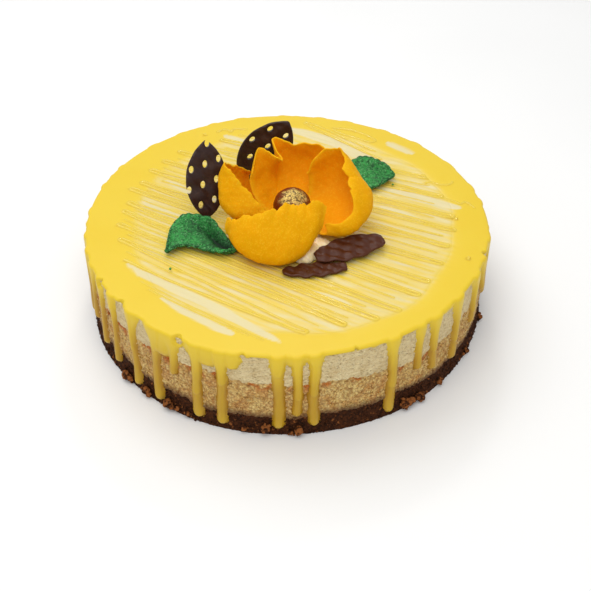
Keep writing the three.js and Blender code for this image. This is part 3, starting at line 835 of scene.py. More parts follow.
def makeLayers(bakedCrumb):
    relief = makeReliefTree()
    lap = layerForm["lap"]
    creamHead = cake["creamHeight"] + layerForm["creamRise"]
    crumb, cream = crumbMaterial("crumb"), creamMaterial()
    stack = [
        ("crumbBase", lambda a: 0 * a, lambda a: crumbLine(a) + lap, crumb, "crumb"),
        ("bakedLayer", lambda a: crumbLine(a) - lap, lambda a: creamLine(a) + lap, bakedCrumb, "baked"),
        ("creamLayer", lambda a: creamLine(a) - lap, lambda a: 0 * a + creamHead, cream, "cream"),
    ]
    for name, foot, head, material, slotName in stack:
        node, grainSize, grainDepth, waveSize, waveDepth = layers[name]
        piece = roundLayer(name, foot, head)
        applyTree(piece, relief, {
            "Grain Size": grainSize * mm, "Grain Depth": grainDepth * mm,
            "Wave Size": waveSize * mm, "Wave Depth": waveDepth * mm, "Material": material,
        })
        finishPiece(piece, slotName, node)
    print("layers done")


# Glaze

glazeForm = {
    "bandDrop": 2.4,
    "bandThickness": 1.6,
    "ringRadius": 101.0,
    "edgeRound": 1.9,
    "dripThickness": 1.9,
    "flowThickness": 0.45,
    "flowFlare": 0.3,
    "highLips": ((-73.0, 16.0, 0.8), (-147.0, 24.0, 0.9)),   # azimuth, spread and rise
    "dripStart": 2.0,
    "columns": 1080,
    "sideRow": 0.85,
    "lowest": 2.2,
    "threadReach": 112.0,   # no thread lies farther out
}

shownDrips = [   # azimuth, height of the tip, width, how much wider at the rim
    (-172, 22, 5.0, 0.8), (-165, 12, 5.2, 0.7), (-158.5, 17, 4.8, 0.9), (-151.5, 9, 5.0, 0.9),
    (-144.2, 6.6, 5.2, 0.7), (-135, 3.4, 5.6, 1.0), (-126.6, 3.2, 6.2, 1.4), (-120.6, 29, 5.2, 1.6),
    (-113.8, 4.0, 6.0, 1.3), (-106.9, 3.8, 5.8, 1.8), (-92.2, 4.8, 6.2, 0.6), (-87.4, 13.7, 5.0, 0.5),
    (-83.1, 5.8, 5.6, 0.6), (-61.8, 3.0, 5.8, 0.5), (-53.2, 25.5, 5.0, 0.5), (-47.6, 18, 5.6, 0.8),
    (-37.6, 12, 6.2, 1.0), (-26.6, 22, 6.0, 0.9), (-18.4, 33, 5.2, 0.8), (-9.2, 15, 5.4, 0.7),
]
hiddenDrips = 15

# short wide sheets of glaze, from which the drips beside them run on, in the same terms
sheets = [(-123.6, 39.5, 13, 0.3), (-110.4, 44.5, 13, 0.3), (-103.8, 46, 6, 0.8), (-87.7, 50.5, 14, 0.1)]

secondFlows = [   # azimuth, height of the tip, width
    (-144.2, 47, 6.4), (-135.6, 29, 4.4), (-126.6, 41, 8.0), (-113.8, 22, 5.6), (-106.9, 34, 6.2),
    (-92.2, 44, 6.2), (-87.4, 27, 4.6), (-83.1, 29, 5.2), (-61.8, 22, 5.4), (-47.6, 33, 5.6),
    (-37.6, 26, 6.6), (-26.6, 31, 5.6),
]

rimChips = [(-72.5, 2.4), (-118.4, 3.2), (-139.5, 3.4), (-150.5, 2.6), (-101, 2.2), (-17, 3)]

thinPatches = [   # pale streaks on the top: places along each, and its width
    ([(-90, -44.5), (-82.7, -51.9), (-67.3, -62.1), (-41.6, -78.8), (-16, -99.4), (-3.2, -109.6)], 6.5),
    ([(-68.6, -73.8), (-54.5, -85.3), (-44.2, -92.3), (-27.5, -103.3)], 5.5),
    ([(-89, 19), (-58, -6)], 6.0),
    ([(-77, 40), (-58, 27), (-40, 17)], 6.0),
    ([(-42.3, 92.3), (-17, 78)], 7.0),
    ([(0, 103), (30, 86), (50, 66), (66, 54)], 9.0),
    ([(66, 84), (83, 70)], 7.0),
    ([(60, 31), (106, 9)], 7.0),
    ([(57, 12), (82, -6)], 6.0),
    ([(10, -67), (35, -81)], 5.0),
]


def dripList():
    drips = shownDrips + sheets
    for i in range(hiddenDrips):
        azimuth = (180.0 / hiddenDrips) * (i + 0.3 + 0.5 * chance(i, 11))
        tip = 4 + 26 * chance(i, 12) ** 1.6
        drips.append((azimuth, tip, 4.8 + 1.4 * chance(i, 13), 0.5 + chance(i, 14)))
    return drips


def ringWaver(angle):
    return (
        1.5 + 4 * np.cos(angle) - 3 * np.sin(angle) - 2.5 * np.cos(2 * angle)
        + 1.2 * np.sin(5 * angle + 0.4) + 0.8 * np.sin(13 * angle)
    )


def topHeight(x, y):
    # the top of the glaze: the combed middle rises softly to the thick ring, with shallow ripples
    inner = glazeForm["ringRadius"] + ringWaver(np.arctan2(y, x))
    ring = smooth(inner - 13.0, inner + 2.0, np.hypot(x, y))
    along, across = intoComb(x, y)
    stretched = stacked(0.1 * along, across, 0 * x)
    level = stacked(x, y, 0 * x)
    combed = 0.1 * ripple(stretched, 3.4, 41) + 0.1 * ripple(stretched, 9.0, 42)
    calm = 0.12 * ripple(level, 42.0, 21) + 0.025 * ripple(level, 11.0, 22)
    return cake["combedTop"] + (cake["glazeTop"] - cake["combedTop"]) * ring + combed * (1 - ring) + calm


def signedPower(value, power):
    return np.sign(value) * np.abs(value) ** power


def softMaximum(first, second, width):
    return width * np.logaddexp(first / width, second / width)


def acrossFrom(angle, azimuth):
    # distance round the side from an azimuth in degrees
    turn = (angle - math.radians(azimuth) + math.pi) % (2.0 * math.pi) - math.pi
    return turn * cake["radius"]


def dripField(angle, height, azimuth, tip, width, flare, thick):
    # a rounded tongue from the rim to its tip, positive inside
    start = cake["glazeTop"] - glazeForm["dripStart"]
    down = np.maximum(0.0, start - height)
    length = start - tip
    share = down / length
    drift = 0.45 * np.sin(height / 8.0 + azimuth) * np.minimum(1.0, down / 6.0)
    half = (width / 2) * (0.9 + flare * np.exp(-((down / 7) ** 2)))
    half = half * (1 + 0.14 * smooth(0.55, 0.9, share))
    half = half * (1 + 0.06 * np.sin(height / 2.3 + 3 * azimuth))
    nearTip = np.maximum(0.0, down - (length - 0.55 * width)) / (0.55 * width)
    body = 1 - ((acrossFrom(angle, azimuth) + drift) / half) ** 2 - nearTip**2
    swell = thick * (0.8 + 0.35 * smooth(0.5, 0.9, share))
    return swell * signedPower(np.maximum(body, -3.0), 0.75)


def lipHeight(angle, height):
    # where the fold of glaze over the rim ends
    ring = onSide(angle, cake["radius"], 0.0 * height)
    lip = cake["glazeTop"] - glazeForm["bandDrop"]
    lip = lip + 0.5 * np.sin(11 * angle) + 0.4 * np.sin(19 * angle + 1) + 0.35 * ripple(ring, 7.0, 11)
    for azimuth, width, rise in glazeForm["highLips"]:
        lip = lip + rise * np.exp(-((acrossFrom(angle, azimuth) / width) ** 2))
    return lip


def flowField(angle, height):
    # 1 on the later flows that run over the drips, 0 elsewhere
    flow = 0.0 * angle + 0.0 * height
    for azimuth, tip, width in secondFlows:
        tongue = dripField(angle, height, azimuth, tip, width, glazeForm["flowFlare"], 1.0)
        flow = np.maximum(flow, smooth(0.0, 0.35, tongue))
    return flow


def glazeField(angle, height):
    # thickness of the glaze over the side, negative where there is none
    lip = lipHeight(angle, height)
    field = glazeForm["bandThickness"] * signedPower(np.clip((height - lip) / 1.6, -1.5, 1.0), 0.7)
    for azimuth, tip, width, flare in dripList():
        drip = dripField(angle, height, azimuth, tip, width, flare, glazeForm["dripThickness"])
        field = softMaximum(field, drip, 0.3)
    return field + glazeForm["flowThickness"] * flowField(angle, height) * smooth(0.2, 1.0, field)


def chipDepth(angle, height):
    depth = 0.0 * angle + 0.0 * height
    for azimuth, size in rimChips:
        away = np.hypot(acrossFrom(angle, azimuth), height - cake["creamHeight"] + 0.6)
        depth = np.maximum(depth, 2.4 * smooth(1.05, 0.5, away / size))
    return depth


def makeSkirt(material, paths):
    # the thick ring round the rim with the band and the drips below it, in one piece
    columns = glazeForm["columns"]
    angle = roundAngles(columns)[None, :]
    top, rounding = cake["glazeTop"], glazeForm["edgeRound"]
    heights = np.arange(glazeForm["lowest"], top - rounding + 0.01, glazeForm["sideRow"])[:, None]
    side = np.clip(glazeField(angle, heights) - chipDepth(angle, heights), -0.6, None)
    base = sideRadius(angle) + footSpread(heights)
    front = [onSide(angle, base + 0.15 + side, heights)]
    back = [onSide(angle, base - 1.2, heights)]
    field = [side]
    fresh = [flowField(angle, heights)]
    outer = sideRadius(angle) + 0.15 + np.maximum(side[-1:], 0.4)
    inner = glazeForm["ringRadius"] + ringWaver(angle)
    arc = np.radians([15, 30, 45, 60, 75, 90])[:, None]
    flat = np.linspace(0.0, 1.0, 12)[:, None]
    slope = np.array([0.0, 1.0, 2.0, 3.0, 4.0, 5.0, 6.5])[:, None]
    reach = np.concatenate([
        outer - rounding * (1 - np.cos(arc)),
        outer - rounding + (inner - outer + rounding) * flat[1:],
        inner - slope[1:],
    ])
    dip = np.concatenate([
        rounding * (1 - np.sin(arc)), 0.0 * flat[1:], 0.4 * smooth(5.0, 6.5, slope[1:]),
    ]) + 0.0 * angle
    height = topHeight(reach * np.cos(angle), reach * np.sin(angle))
    level = top + (height - top) * smooth(1.6, 0.2, dip * (outer - reach < rounding + 0.1)) - dip
    crown = onSide(angle, reach, level)
    pull = chipDepth(angle, np.minimum(level, top - 1.2)) * smooth(4.0, 0.0, outer - reach)
    crown -= onSide(angle, pull, 0.0)
    front.append(crown)
    back.append(onSide(angle, np.minimum(reach, sideRadius(angle)) - 1.2, level - 1.3))
    field.append(0.0 * level + 1.0)
    fresh.append(0.0 * level)
    front, back, field, fresh = (np.concatenate(parts) for parts in (front, back, field, fresh))
    quads = gridQuads(len(front), columns, True)
    quads = quads[(field.reshape(-1)[quads] > -0.59).any(axis=1)]
    places, faces, used = shell(front.reshape(-1, 3), back.reshape(-1, 3), quads)
    piece = meshPiece("glazeSkirt", places, faces, material)
    thickness, flow = (np.tile(values.reshape(-1)[used], 2) for values in (field, fresh))
    reach = np.hypot(places[:, 0], places[:, 1])
    clearance = threadClearance(places, paths)
    low = smooth(cake["creamHeight"] + 1.0, 30.0, places[:, 2])
    tip = smooth(16.0, 5.0, places[:, 2])
    amber = low * (0.66 + 0.25 * smooth(1.3, 0.3, thickness) - 0.14 * flow - 0.16 * tip)
    onTop = smooth(glazeForm["threadReach"], 107.0, reach)
    storeValue(piece, "thin", topThinness(places, clearance) * onTop)
    # amber here is the larger of the brown under the drips and the painted shade beside the threads
    storeValue(piece, "amber", np.maximum(amber, 0.8 * threadShade(places, paths)))
    return piece


def streakShare(places, path, width):
    # distance from a path on the top, as a share of its half width, which tapers to both ends
    lengths = [math.dist(start, end) for start, end in zip(path[:-1], path[1:])]
    nearest = np.full(places.shape[:-1], 1e9)
    for k, (start, end) in enumerate(zip(path[:-1], path[1:])):
        first, along = np.array(start, float), np.array(end, float) - start
        share = np.clip(((places[..., :2] - first) @ along) / (along @ along), 0.0, 1.0)
        away = np.linalg.norm(places[..., :2] - first - share[..., None] * along, axis=-1)
        whole = (sum(lengths[:k]) + share * lengths[k]) / sum(lengths)
        half = width / 2 * np.maximum(4 * whole * (1 - whole), 1e-4) ** 0.4
        nearest = np.minimum(nearest, away / half)
    return nearest


def threadClearance(places, paths):
    # distance of each place from the side of the nearest thread, up to a few millimetres
    marks = []
    for path in paths:
        for (start, half), (end, _) in zip(path[:-1], path[1:]):
            steps = max(1, int(math.dist(start, end) / 0.8))
            for t in np.arange(steps) / steps:
                x, y = start[0] + (end[0] - start[0]) * t, start[1] + (end[1] - start[1]) * t
                marks.append((x, y, half))
    tree = kdtree.KDTree(len(marks))
    for index, (x, y, _) in enumerate(marks):
        tree.insert((x, y, 0.0), index)
    tree.balance()
    clearance = np.full(len(places), 9.0)
    for k in np.flatnonzero(np.hypot(places[:, 0], places[:, 1]) < glazeForm["threadReach"]):
        _, index, away = tree.find((places[k, 0], places[k, 1], 0.0))
        clearance[k] = away - marks[index][2]
    return clearance


def intoComb(x, y):
    # a place on the top, measured along the piped lines and across them
    angle = math.radians(comb["angle"])
    return x * math.cos(angle) + y * math.sin(angle), y * math.cos(angle) - x * math.sin(angle)


def outOfComb(along, across):
    # the other way round
    angle = math.radians(comb["angle"])
    x = along * math.cos(angle) - across * math.sin(angle)
    return x, along * math.sin(angle) + across * math.cos(angle)


def topThinness(places, clearance):
    # 1 where the glaze on the top is thin and pale, 0 where it is thick
    along, across = intoComb(places[..., 0], places[..., 1])
    combed = stacked(0.12 * along, across, places[..., 2])
    waver = 0.16 * ripple(combed, 4.0, 31) + 0.14 * ripple(combed, 12.0, 32)
    thin = 0.0 * places[..., 0]
    for path, width in thinPatches:
        thin = np.maximum(thin, smooth(1.3, 0.85, streakShare(places, path, width) + waver))
    reach = np.hypot(places[..., 0], places[..., 1])
    inner = glazeForm["ringRadius"] + ringWaver(np.arctan2(places[..., 1], places[..., 0]))
    spread = 0.5 + 0.22 * ripple(combed, 5.0, 33) + 0.14 * ripple(combed, 1.8, 34)
    spread = spread * smooth(inner - 2.0, inner - 9.0, reach)
    return np.clip(np.maximum(thin, spread) * (0.25 + 0.75 * smooth(-0.3, 0.9, clearance)), 0.0, 1.0)


def threadShade(places, paths):
    # painted shade: the dark line where the near side of a thread meets the glaze
    reach = np.hypot(places[:, 0], places[:, 1])
    behind = threadClearance(places + [0.3, 0.7, 0.0], paths)
    uneven = 0.65 + 0.35 * ripple(places, 6.0, 35)
    return 0.34 * smooth(0.2, -0.5, behind) * uneven * (reach < glazeForm["threadReach"])


comb = {
    "angle": -28.0,
    "reach": 101.0,
    "turnHalf": 1.3,
    "middle": (0.0, -1.0),
    "left": [70, 58, 45, 32, 18, 5, -9, -18, -31, -40, -52, -64, -80],
    "right": [80, 65, 48, 36, 20, 3, -15, -28, -45, -57, -69, -84],
    "halfWidth": 0.85,
    "fineWidth": 0.5,    # half the width of the finer threads
    "crest": 0.52,
    "sides": 12,
    "steps": 44,
    "turnSteps": 7,
}

curls = [   # thinner threads that run over the ring, each with its half width
    (0.8, [(86.5, 36.5), (90.4, 37.5), (94.2, 35), (98, 34), (102, 34.6), (104, 37.5)]),
    (0.7, [(91.7, 21.2), (96.7, 19.8), (103.8, 15.4), (105.8, 13.5), (109, 15.4), (114, 9)]),
    (0.8, [(30.8, 102.7), (40.4, 100.8), (51.9, 94.2), (58.8, 85.8), (55.8, 84.2), (46.5, 89.6),
           (36.5, 95), (30.8, 100.4)]),
    (0.8, [(61, 64.2), (40, 83), (24, 97), (14, 106), (12, 109.6), (18, 107), (36, 92), (58, 73.5)]),
    (0.9, [(-47.3, 96.5), (-41.9, 100.4), (-37.3, 97.3), (-36.5, 100.4), (-26.5, 100.4)]),
    (1.6, [(102.6, -39.8), (104.0, -40.4)]),
    (1.4, [(100.4, -1.3), (101.8, -1.8)]),
    (1.4, [(-55.5, 93.0), (-54.0, 94.0)]),
    (0.4, [(-81, -60), (-60, -75), (-38, -90), (-12, -108)]),
    (0.4, [(-76, -67), (-56, -81), (-36, -94), (-20, -104)]),
]


def makeMiddle(material, paths):
    # the thinner glaze inside the ring, with soft ripples that follow the piped lines
    along = np.arange(-114.0, 114.1, 1.5)
    across = np.arange(-114.0, 114.1, 0.55)
    a, s = np.meshgrid(along, across)
    x, y = outOfComb(a, s)
    reach = np.hypot(x, y)
    inner = glazeForm["ringRadius"] + ringWaver(np.arctan2(y, x))
    height = topHeight(x, y) - 0.6 * smooth(inner - 5.2, inner - 3.6, reach)
    places = np.stack([x, y, height], axis=-1)
    quads = gridQuads(*a.shape)
    quads = quads[((reach - inner).reshape(-1)[quads] < -1.5).all(axis=1)]
    below = places - [0.0, 0.0, 1.2]
    places, faces, _ = shell(places.reshape(-1, 3), below.reshape(-1, 3), quads)
    piece = meshPiece("glazeMiddle", places, faces, material)
    clearance = threadClearance(places, paths)
    storeValue(piece, "thin", topThinness(places, clearance))
    # the value amber on the middle is painted shade beside the threads
    storeValue(piece, "amber", threadShade(places, paths))
    return piece


def combPoint(a, s):
    x, y = outOfComb(a, s)
    return (comb["middle"][0] + x, comb["middle"][1] + y)


def combPath():
    # places of the piped line, and 1 at its turns, where it is thicker
    steps, turnSteps = comb["steps"], comb["turnSteps"]
    path = []
    turnHalf = comb["turnHalf"]

    def endAt(s, index):
        return math.sqrt(comb["reach"] ** 2 - s * s) - 5 * chance(index, 31)

    def line(start, startSide, end, index):
        a, b = startSide * endAt(start, index), -startSide * endAt(end, index + 1)
        for step in range(steps + 1):
            t = step / steps
            bow = 1.1 * math.sin(math.pi * t) * math.sin(index)
            swell = smooth(0.05, 0.0, min(t, 1 - t))
            path.append((a + (b - a) * t, start + (end - start) * t + bow, swell))

    def turn(side, middle):
        a = path[-1][0]
        for step in range(1, turnSteps):
            around = math.pi * step / turnSteps
            aside, onward = turnHalf * math.sin(around), turnHalf * math.cos(around)
            path.append((a + side * aside, middle + onward, 1.0))

    lefts, rights = comb["left"], comb["right"]
    for k in range(len(rights)):
        line(lefts[k] - turnHalf, -1, rights[k] + turnHalf, 2 * k)
        turn(1, rights[k])
        line(rights[k] - turnHalf, 1, lefts[k + 1] + turnHalf, 2 * k + 1)
        if k + 1 < len(rights):
            turn(-1, lefts[k + 1])
    return path


def threadPaths():
    # paths with a width for each point: the piped line, finer ones between it, and the curls
    main = [(combPoint(a, s), comb["halfWidth"] * (1 + 0.3 * turn)) for a, s, turn in combPath()]
    paths = [main]
    for k in range(2 * len(comb["left"]) - 3):
        turn, odd = k // 2, k % 2
        left = comb["left"][turn + 1] if odd else (comb["left"][turn] + comb["left"][turn + 1]) / 2
        right = (comb["right"][turn] + comb["right"][turn + 1]) / 2 if odd else comb["right"][turn]
        reachLeft = math.sqrt(comb["reach"] ** 2 - left * left) - 4 - 12 * chance(k, 53)
        reachRight = math.sqrt(max(300.0, comb["reach"] ** 2 - right * right)) - 4 - 12 * chance(k, 54)
        fine = []
        for t in np.linspace(0.0, 1.0, comb["steps"]):
            a = -reachLeft + (reachLeft + reachRight) * t
            s = left + (right - left) * t + 0.5 * math.sin(2.0 * k + 5.0 * t)
            fine.append((combPoint(a, s), comb["fineWidth"] + 0.12 * math.sin(7.0 * k + 9.0 * t)))
        paths.append(fine)
    for half, row in curls:
        curve = curveThrough([(x, y, 0.0) for x, y in row], np.linspace(0.0, 1.0, 6 * len(row)))
        paths.append([((x, y), half) for x, y, _ in curve])
    return paths


def makeThreadTree():
    # sweeps a low oval along edges, as wide as their value swell
    tree, given, wanted = newGroup(
        "thread", "GeometryNodeTree",
        [
            ("Geometry", "Geometry", None), ("Flatness", "Float", 0.5), ("Sides", "Int", 10),
            ("Material", "Material", None),
        ],
        [("Geometry", "Geometry")],
    )
    curve = addNode(tree, "GeometryNodeMeshToCurve", {"Mesh": given["Geometry"]})
    upright = addNode(tree, "GeometryNodeSetCurveNormal", {"Curve": curve.outputs["Curve"]}, mode="Z_UP")
    circle = addNode(
        tree, "GeometryNodeCurvePrimitiveCircle", {"Resolution": given["Sides"], "Radius": 1.0}
    )
    shape = addNode(tree, "ShaderNodeCombineXYZ", {"X": 1.0, "Y": given["Flatness"], "Z": 1.0})
    values = {"Geometry": circle.outputs["Curve"], "Scale": shape.outputs["Vector"]}
    oval = addNode(tree, "GeometryNodeTransform", values)
    swell = fieldOf(tree, "swell")
    swept = addNode(
        tree, "GeometryNodeCurveToMesh",
        {
            "Curve": upright.outputs["Curve"], "Profile Curve": oval.outputs["Geometry"],
            "Scale": swell, "Fill Caps": True,
        },
    )
    return finishTree(tree, swept.outputs["Mesh"], given, wanted)


def edgePiece(name, paths):
    # a mesh of edges only, with the value swell in metres at each point
    places, edges, swell = [], [], []
    for path in paths:
        first = len(places)
        for (x, y), half in path:
            lump = 1 + 0.16 * math.sin(0.7 * x + 1.3 * y) + 0.1 * math.sin(2.1 * x - 0.8 * y)
            places.append((x * mm, y * mm, (float(topHeight(x, y)) - 0.12 * half) * mm))
            swell.append(half * lump * mm)
        edges += [(k, k + 1) for k in range(first, len(places) - 1)]
    mesh = bpy.data.meshes.new(name)
    mesh.from_pydata(places, edges, [])
    piece = bpy.data.objects.new(name, mesh)
    bpy.context.scene.collection.objects.link(piece)
    storeValue(piece, "swell", swell)
    return piece


def makeGlaze():
    material = glazeMaterial()
    paths = threadPaths()
    skirt = makeSkirt(material, paths)
    middle = makeMiddle(material, paths)
    threads = edgePiece("glazeThreads", paths)
    values = {"Flatness": comb["crest"], "Sides": comb["sides"], "Material": material}
    applyTree(threads, makeThreadTree(), values)
    threads.data.shade_smooth()
    storeValue(threads, "thread", np.ones(len(threads.data.vertices)))
    for piece in (skirt, middle, threads):
        finishPiece(piece, "glaze", "glaze")
    print("glaze done")


# Flower

flower = {
    "middle": (3.0, -9.0),
    "thickness": 1.8,
    "columns": 150,
    "rows": 60,
}

petals = {   # rows from foot to rim, each point a bearing, a reach and a height over the glaze
    "petal_front": {
        "foot": [(208, 12.5, 3.4), (255, 12.5, 3.4), (302, 12.5, 3.4)],
        "belly": [(212, 42, -1.4), (235, 49, -4.3), (262, 51, -5.2), (277, 42, -3), (285, 31, 0.5)],
        "shoulder": [(204, 45, 9), (228, 51, 10), (255, 52, 10), (283, 43, 11.5), (302, 32, 14)],
        "rim": [(201, 40, 15.4), (213, 38, 20), (226, 35, 26), (240, 32, 29), (257, 24, 31.5),
                (272, 22, 31), (287, 22.5, 30.5), (301, 25, 33), (314, 27, 29)],
        "ragged": 0.7,
        "tears": [(0.06, 1.6), (0.13, 1.2), (0.22, 0.8), (0.47, 0.9), (0.72, 0.7), (0.93, 1.2)],
    },
    "petal_left": {
        "foot": [(142, 12.5, 5.6), (178, 12.5, 5.6), (212, 12.5, 5.6)],
        "belly": [(140, 33, 9), (154, 36, 8), (170, 42, 5), (188, 43, 5), (207, 33, 7), (222, 22, 9)],
        "shoulder": [(138, 38, 20), (152, 40, 22), (166, 46, 22), (182, 48, 22), (200, 41, 20),
                     (220, 28, 15)],
        "rim": [(136, 34, 21.5), (147, 34, 28), (157, 35.5, 33), (167, 38, 37.5), (175, 38.5, 41),
                (181, 33.5, 36.5), (188, 28.5, 31.5), (200, 23, 25), (214, 19.5, 19.5),
                (228, 17.5, 15.5)],
        "ragged": 0.4,
        "tears": [(0.2, 0.7), (0.42, 0.6), (0.66, 0.9)],
    },
    "petal_back": {
        "foot": [(60, 12.5, 7.8), (110, 12.5, 7.8), (172, 12.5, 7.8)],
        "belly": [(54, 31, 10), (80, 35, 9), (102, 33, 9), (126, 29, 10), (163, 23, 11)],
        "shoulder": [(48, 37, 26), (72, 40, 25), (94, 38, 25), (104, 35, 25), (112, 32, 24),
                     (126, 33, 24), (153, 29, 21)],
        "rim": [(46, 32, 36), (60, 33, 38), (74, 33.5, 36.5), (88, 33, 36), (98, 34, 37.5),
                (108, 37, 38.5), (110, 30, 36.5), (106.5, 21, 33), (112, 20.5, 34.5), (119, 26.5, 36),
                (127, 32, 37.5), (146, 29, 27)],
        "ragged": 0.3,
        "tears": [(0.15, 0.6), (0.33, 0.5), (0.85, 0.6)],
    },
    "petal_right": {
        "foot": [(-46, 12.5, 10), (6, 12.5, 10), (52, 12.5, 10)],
        "belly": [(-50, 30, 4), (-30, 42, 3), (-8, 47, 6), (16, 43, 9), (38, 33, 11), (56, 21, 12)],
        "shoulder": [(-46, 32, 13), (-30, 47, 13), (-10, 56, 20), (8, 55, 24), (24, 47, 28),
                     (42, 37, 29), (60, 22, 24)],
        "rim": [(-46, 27, 15), (-37, 34, 17), (-24, 38, 23), (-13, 34, 30), (-4, 32, 32.5), (4, 33, 33),
                (10, 29.5, 36), (22, 33, 38), (34, 33, 41), (46, 29, 40), (56, 23, 34), (62, 19.5, 26)],
        "ragged": 0.5,
        "tears": [(0.1, 1.0), (0.3, 0.8), (0.45, 0.7), (0.75, 0.8)],
    },
}


def flowerPlace(point):
    bearing, reach, height = point
    angle = math.radians(bearing)
    return (
        flower["middle"][0] + reach * math.cos(angle), flower["middle"][1] + reach * math.sin(angle),
        cake["glazeTop"] + height,
    )


def makePetal(name, form, number, material):
    # a cupped sheet through four curves; its rim is torn here and there
    across = np.linspace(0.0, 1.0, flower["columns"])
    upward = np.linspace(0.0, 1.0, flower["rows"])[:, None]
    torn = 0.0 * across
    for at, depth in form["tears"]:
        torn += depth * np.exp(-(((across - at) / 0.011) ** 2))
    jagged = 0.4 + 0.6 * np.sin(17 * across + 2 * number) ** 2
    torn += 0.25 * (1 + np.sin(140 * across + number)) * jagged
    lift = upward * (1 - torn[None, :] / 60.0 * upward**30)
    rest = 1 - lift
    weights = [rest**3, 3 * lift * rest**2, 3 * lift**2 * rest, lift**3]
    rows = [form[key] for key in ("foot", "belly", "shoulder", "rim")]
    curves = [curveThrough([flowerPlace(point) for point in row], across) for row in rows]
    places = sum(weight[:, :, None] * curve[None] for weight, curve in zip(weights, curves))
    rags = form["ragged"] * (np.sin(37 * across) + np.sin(61 * across + 1))
    places[..., 2] += lift**24 * rags[None, :]
    normals = np.cross(np.gradient(places, axis=1), np.gradient(places, axis=0))
    normals /= np.maximum(np.linalg.norm(normals, axis=2, keepdims=True), 1e-9)
    wave = 0.3 * ripple(places, 15.0, 60 + number) + 0.12 * ripple(places, 5.0, 70 + number)
    places += normals * (wave * smooth(0.0, 0.25, lift))[..., None]
    toEdge = np.minimum(np.minimum(across, 1 - across)[None, :] + 0 * upward, 1 - upward)
    thickness = flower["thickness"] * (0.55 + 0.45 * smooth(0.0, 0.12, toEdge))
    sheet, faces = thickSheet(places, thickness, 5)
    piece = meshPiece(pieceName(name), sheet, faces, material)
    count = places.shape[0] * places.shape[1]
    # the value inside, 1 on the inner face, carries painted bounce light
    inside = np.zeros(len(sheet))
    inside[count:2 * count] = 1.0
    # the value rim carries a painted highlight along the edges
    rim = np.zeros(len(sheet))
    rim[:2 * count] = np.tile(smooth(0.06, 0.0, toEdge).ravel(), 2)
    rim[2 * count:] = 1.0
    storeValue(piece, "inside", inside)
    storeValue(piece, "rim", 0.7 * rim)
    finishPiece(piece, "petal", name)


pearlForm = {
    "radius": 11.0,
    "middle": (3.0, -10.3, 73.6),
    "goldTilt": (0.1, -0.58, 0.84),
    "columns": 72,
    "rows": 38,
}


def makePearl():
    # a slightly uneven ball; crown is how far each place faces the gold dust
    radius, columns, rows = (pearlForm[key] for key in ("radius", "columns", "rows"))
    around = roundAngles(columns)[None, :]
    rise = np.linspace(-0.5 * math.pi, 0.5 * math.pi, rows + 2)[1:-1, None]
    facing = onSide(around, np.cos(rise), np.sin(rise)).reshape(-1, 3)
    facing = np.concatenate([facing, [[0.0, 0.0, -1.0], [0.0, 0.0, 1.0]]])
    uneven = 0.14 * ripple(facing * radius, 4.0, 81) + 0.08 * ripple(facing * radius, 1.6, 82)
    places = facing * (radius + uneven)[:, None] + pearlForm["middle"]
    piece = meshPiece("chocolatePearl", places, cappedGrid(rows, columns), pearlMaterial())
    tilt = np.array(pearlForm["goldTilt"])
    crown = facing @ (tilt / np.linalg.norm(tilt))
    storeValue(piece, "crown", crown + 0.12 * ripple(facing * radius, 5.0, 83))
    finishPiece(piece, "pearl", "pearl")


dabForm = {
    "lobes": [   # middle, reach and height of each
        (3.0, -10.0, 14.0, 3.0), (12.5, -21.5, 7.0, 4.0), (17.5, -33.0, 9.5, 6.2),
        (9.5, -39.0, 6.8, 5.5),
    ],
    "foot": 58.6,
    "columns": 40,
    "rows": 14,
    "facet": 0.35,
    "softenSteps": 6,
}


def makeDab():
    # lobes of soft cream squeezed out between the petals, run together
    columns, rows, foot = (dabForm[key] for key in ("columns", "rows", "foot"))
    around = roundAngles(columns)[None, :]
    rise = np.linspace(0.0, 0.5 * math.pi, rows)[:-1, None]
    places, faces = [], []
    for x, y, reach, height in dabForm["lobes"]:
        faces += cappedGrid(rows - 1, columns, len(places))
        lobe = [x, y, foot] + onSide(around, reach * np.cos(rise), height * np.sin(rise))
        places += lobe.reshape(-1, 3).tolist() + [[x, y, foot], [x, y, foot + height]]
    piece = meshPiece("creamDab", places, faces, None)
    remesh = piece.modifiers.new("even", "REMESH")
    remesh.mode = "VOXEL"
    remesh.voxel_size = dabForm["facet"] * mm
    smoothing = piece.modifiers.new("soften", "SMOOTH")
    smoothing.factor = 0.5
    smoothing.iterations = dabForm["softenSteps"]
    settle(piece)
    mesh = piece.data
    places = np.array([vertex.co for vertex in mesh.vertices]) / mm
    normals = np.array([vertex.normal for vertex in mesh.vertices])
    swell = 0.24 * ripple(places, 5.0, 91) + 0.06 * ripple(places, 2.0, 92)
    swell *= smooth(foot, foot + 1.2, places[:, 2])
    mesh.vertices.foreach_set("co", ((places + normals * swell[:, None]) * mm).ravel())
    mesh.shade_smooth()
    mesh.materials.clear()
    mesh.materials.append(dabMaterial())
    finishPiece(piece, "dab", "cream_dab")


# Leaves

leaves = {   # near and far edges by place and height over the glaze
    "leaf_left": {
        "near": [(-68.5, -37, 2.6), (-62, -34, 4.4), (-54, -33.5, 4.2), (-45, -36.5, 3.4),
                 (-36, -39, 4.2), (-29.5, -36.5, 4.4)],
        "far": [(-68.5, -36, 3), (-66.5, -18, 6), (-61.5, -12, 9), (-55, -11.5, 11), (-45, -17, 12.5),
                (-39, -24, 9), (-31, -34, 4.6)],
        "cup": 3.0,
        "hollow": 6.0,
    },
    "leaf_right": {
        "near": [(40, 27, 3), (47, 26, 2.6), (53, 28, 2.4), (60, 33, 2.8), (66.5, 39, 3.6)],
        "far": [(38, 38, 5), (41, 47, 8.5), (48, 50, 10), (55, 48.5, 9.5), (62, 46, 7), (66.5, 41, 4)],
        "cup": 2.0,
        "hollow": 0.8,
    },
}

leafForm = {
    "thickness": 2.6,
    "rest": 1.7,      # lowest middle of a leaf above the glaze
    "columns": 130,
    "rows": 70,
}


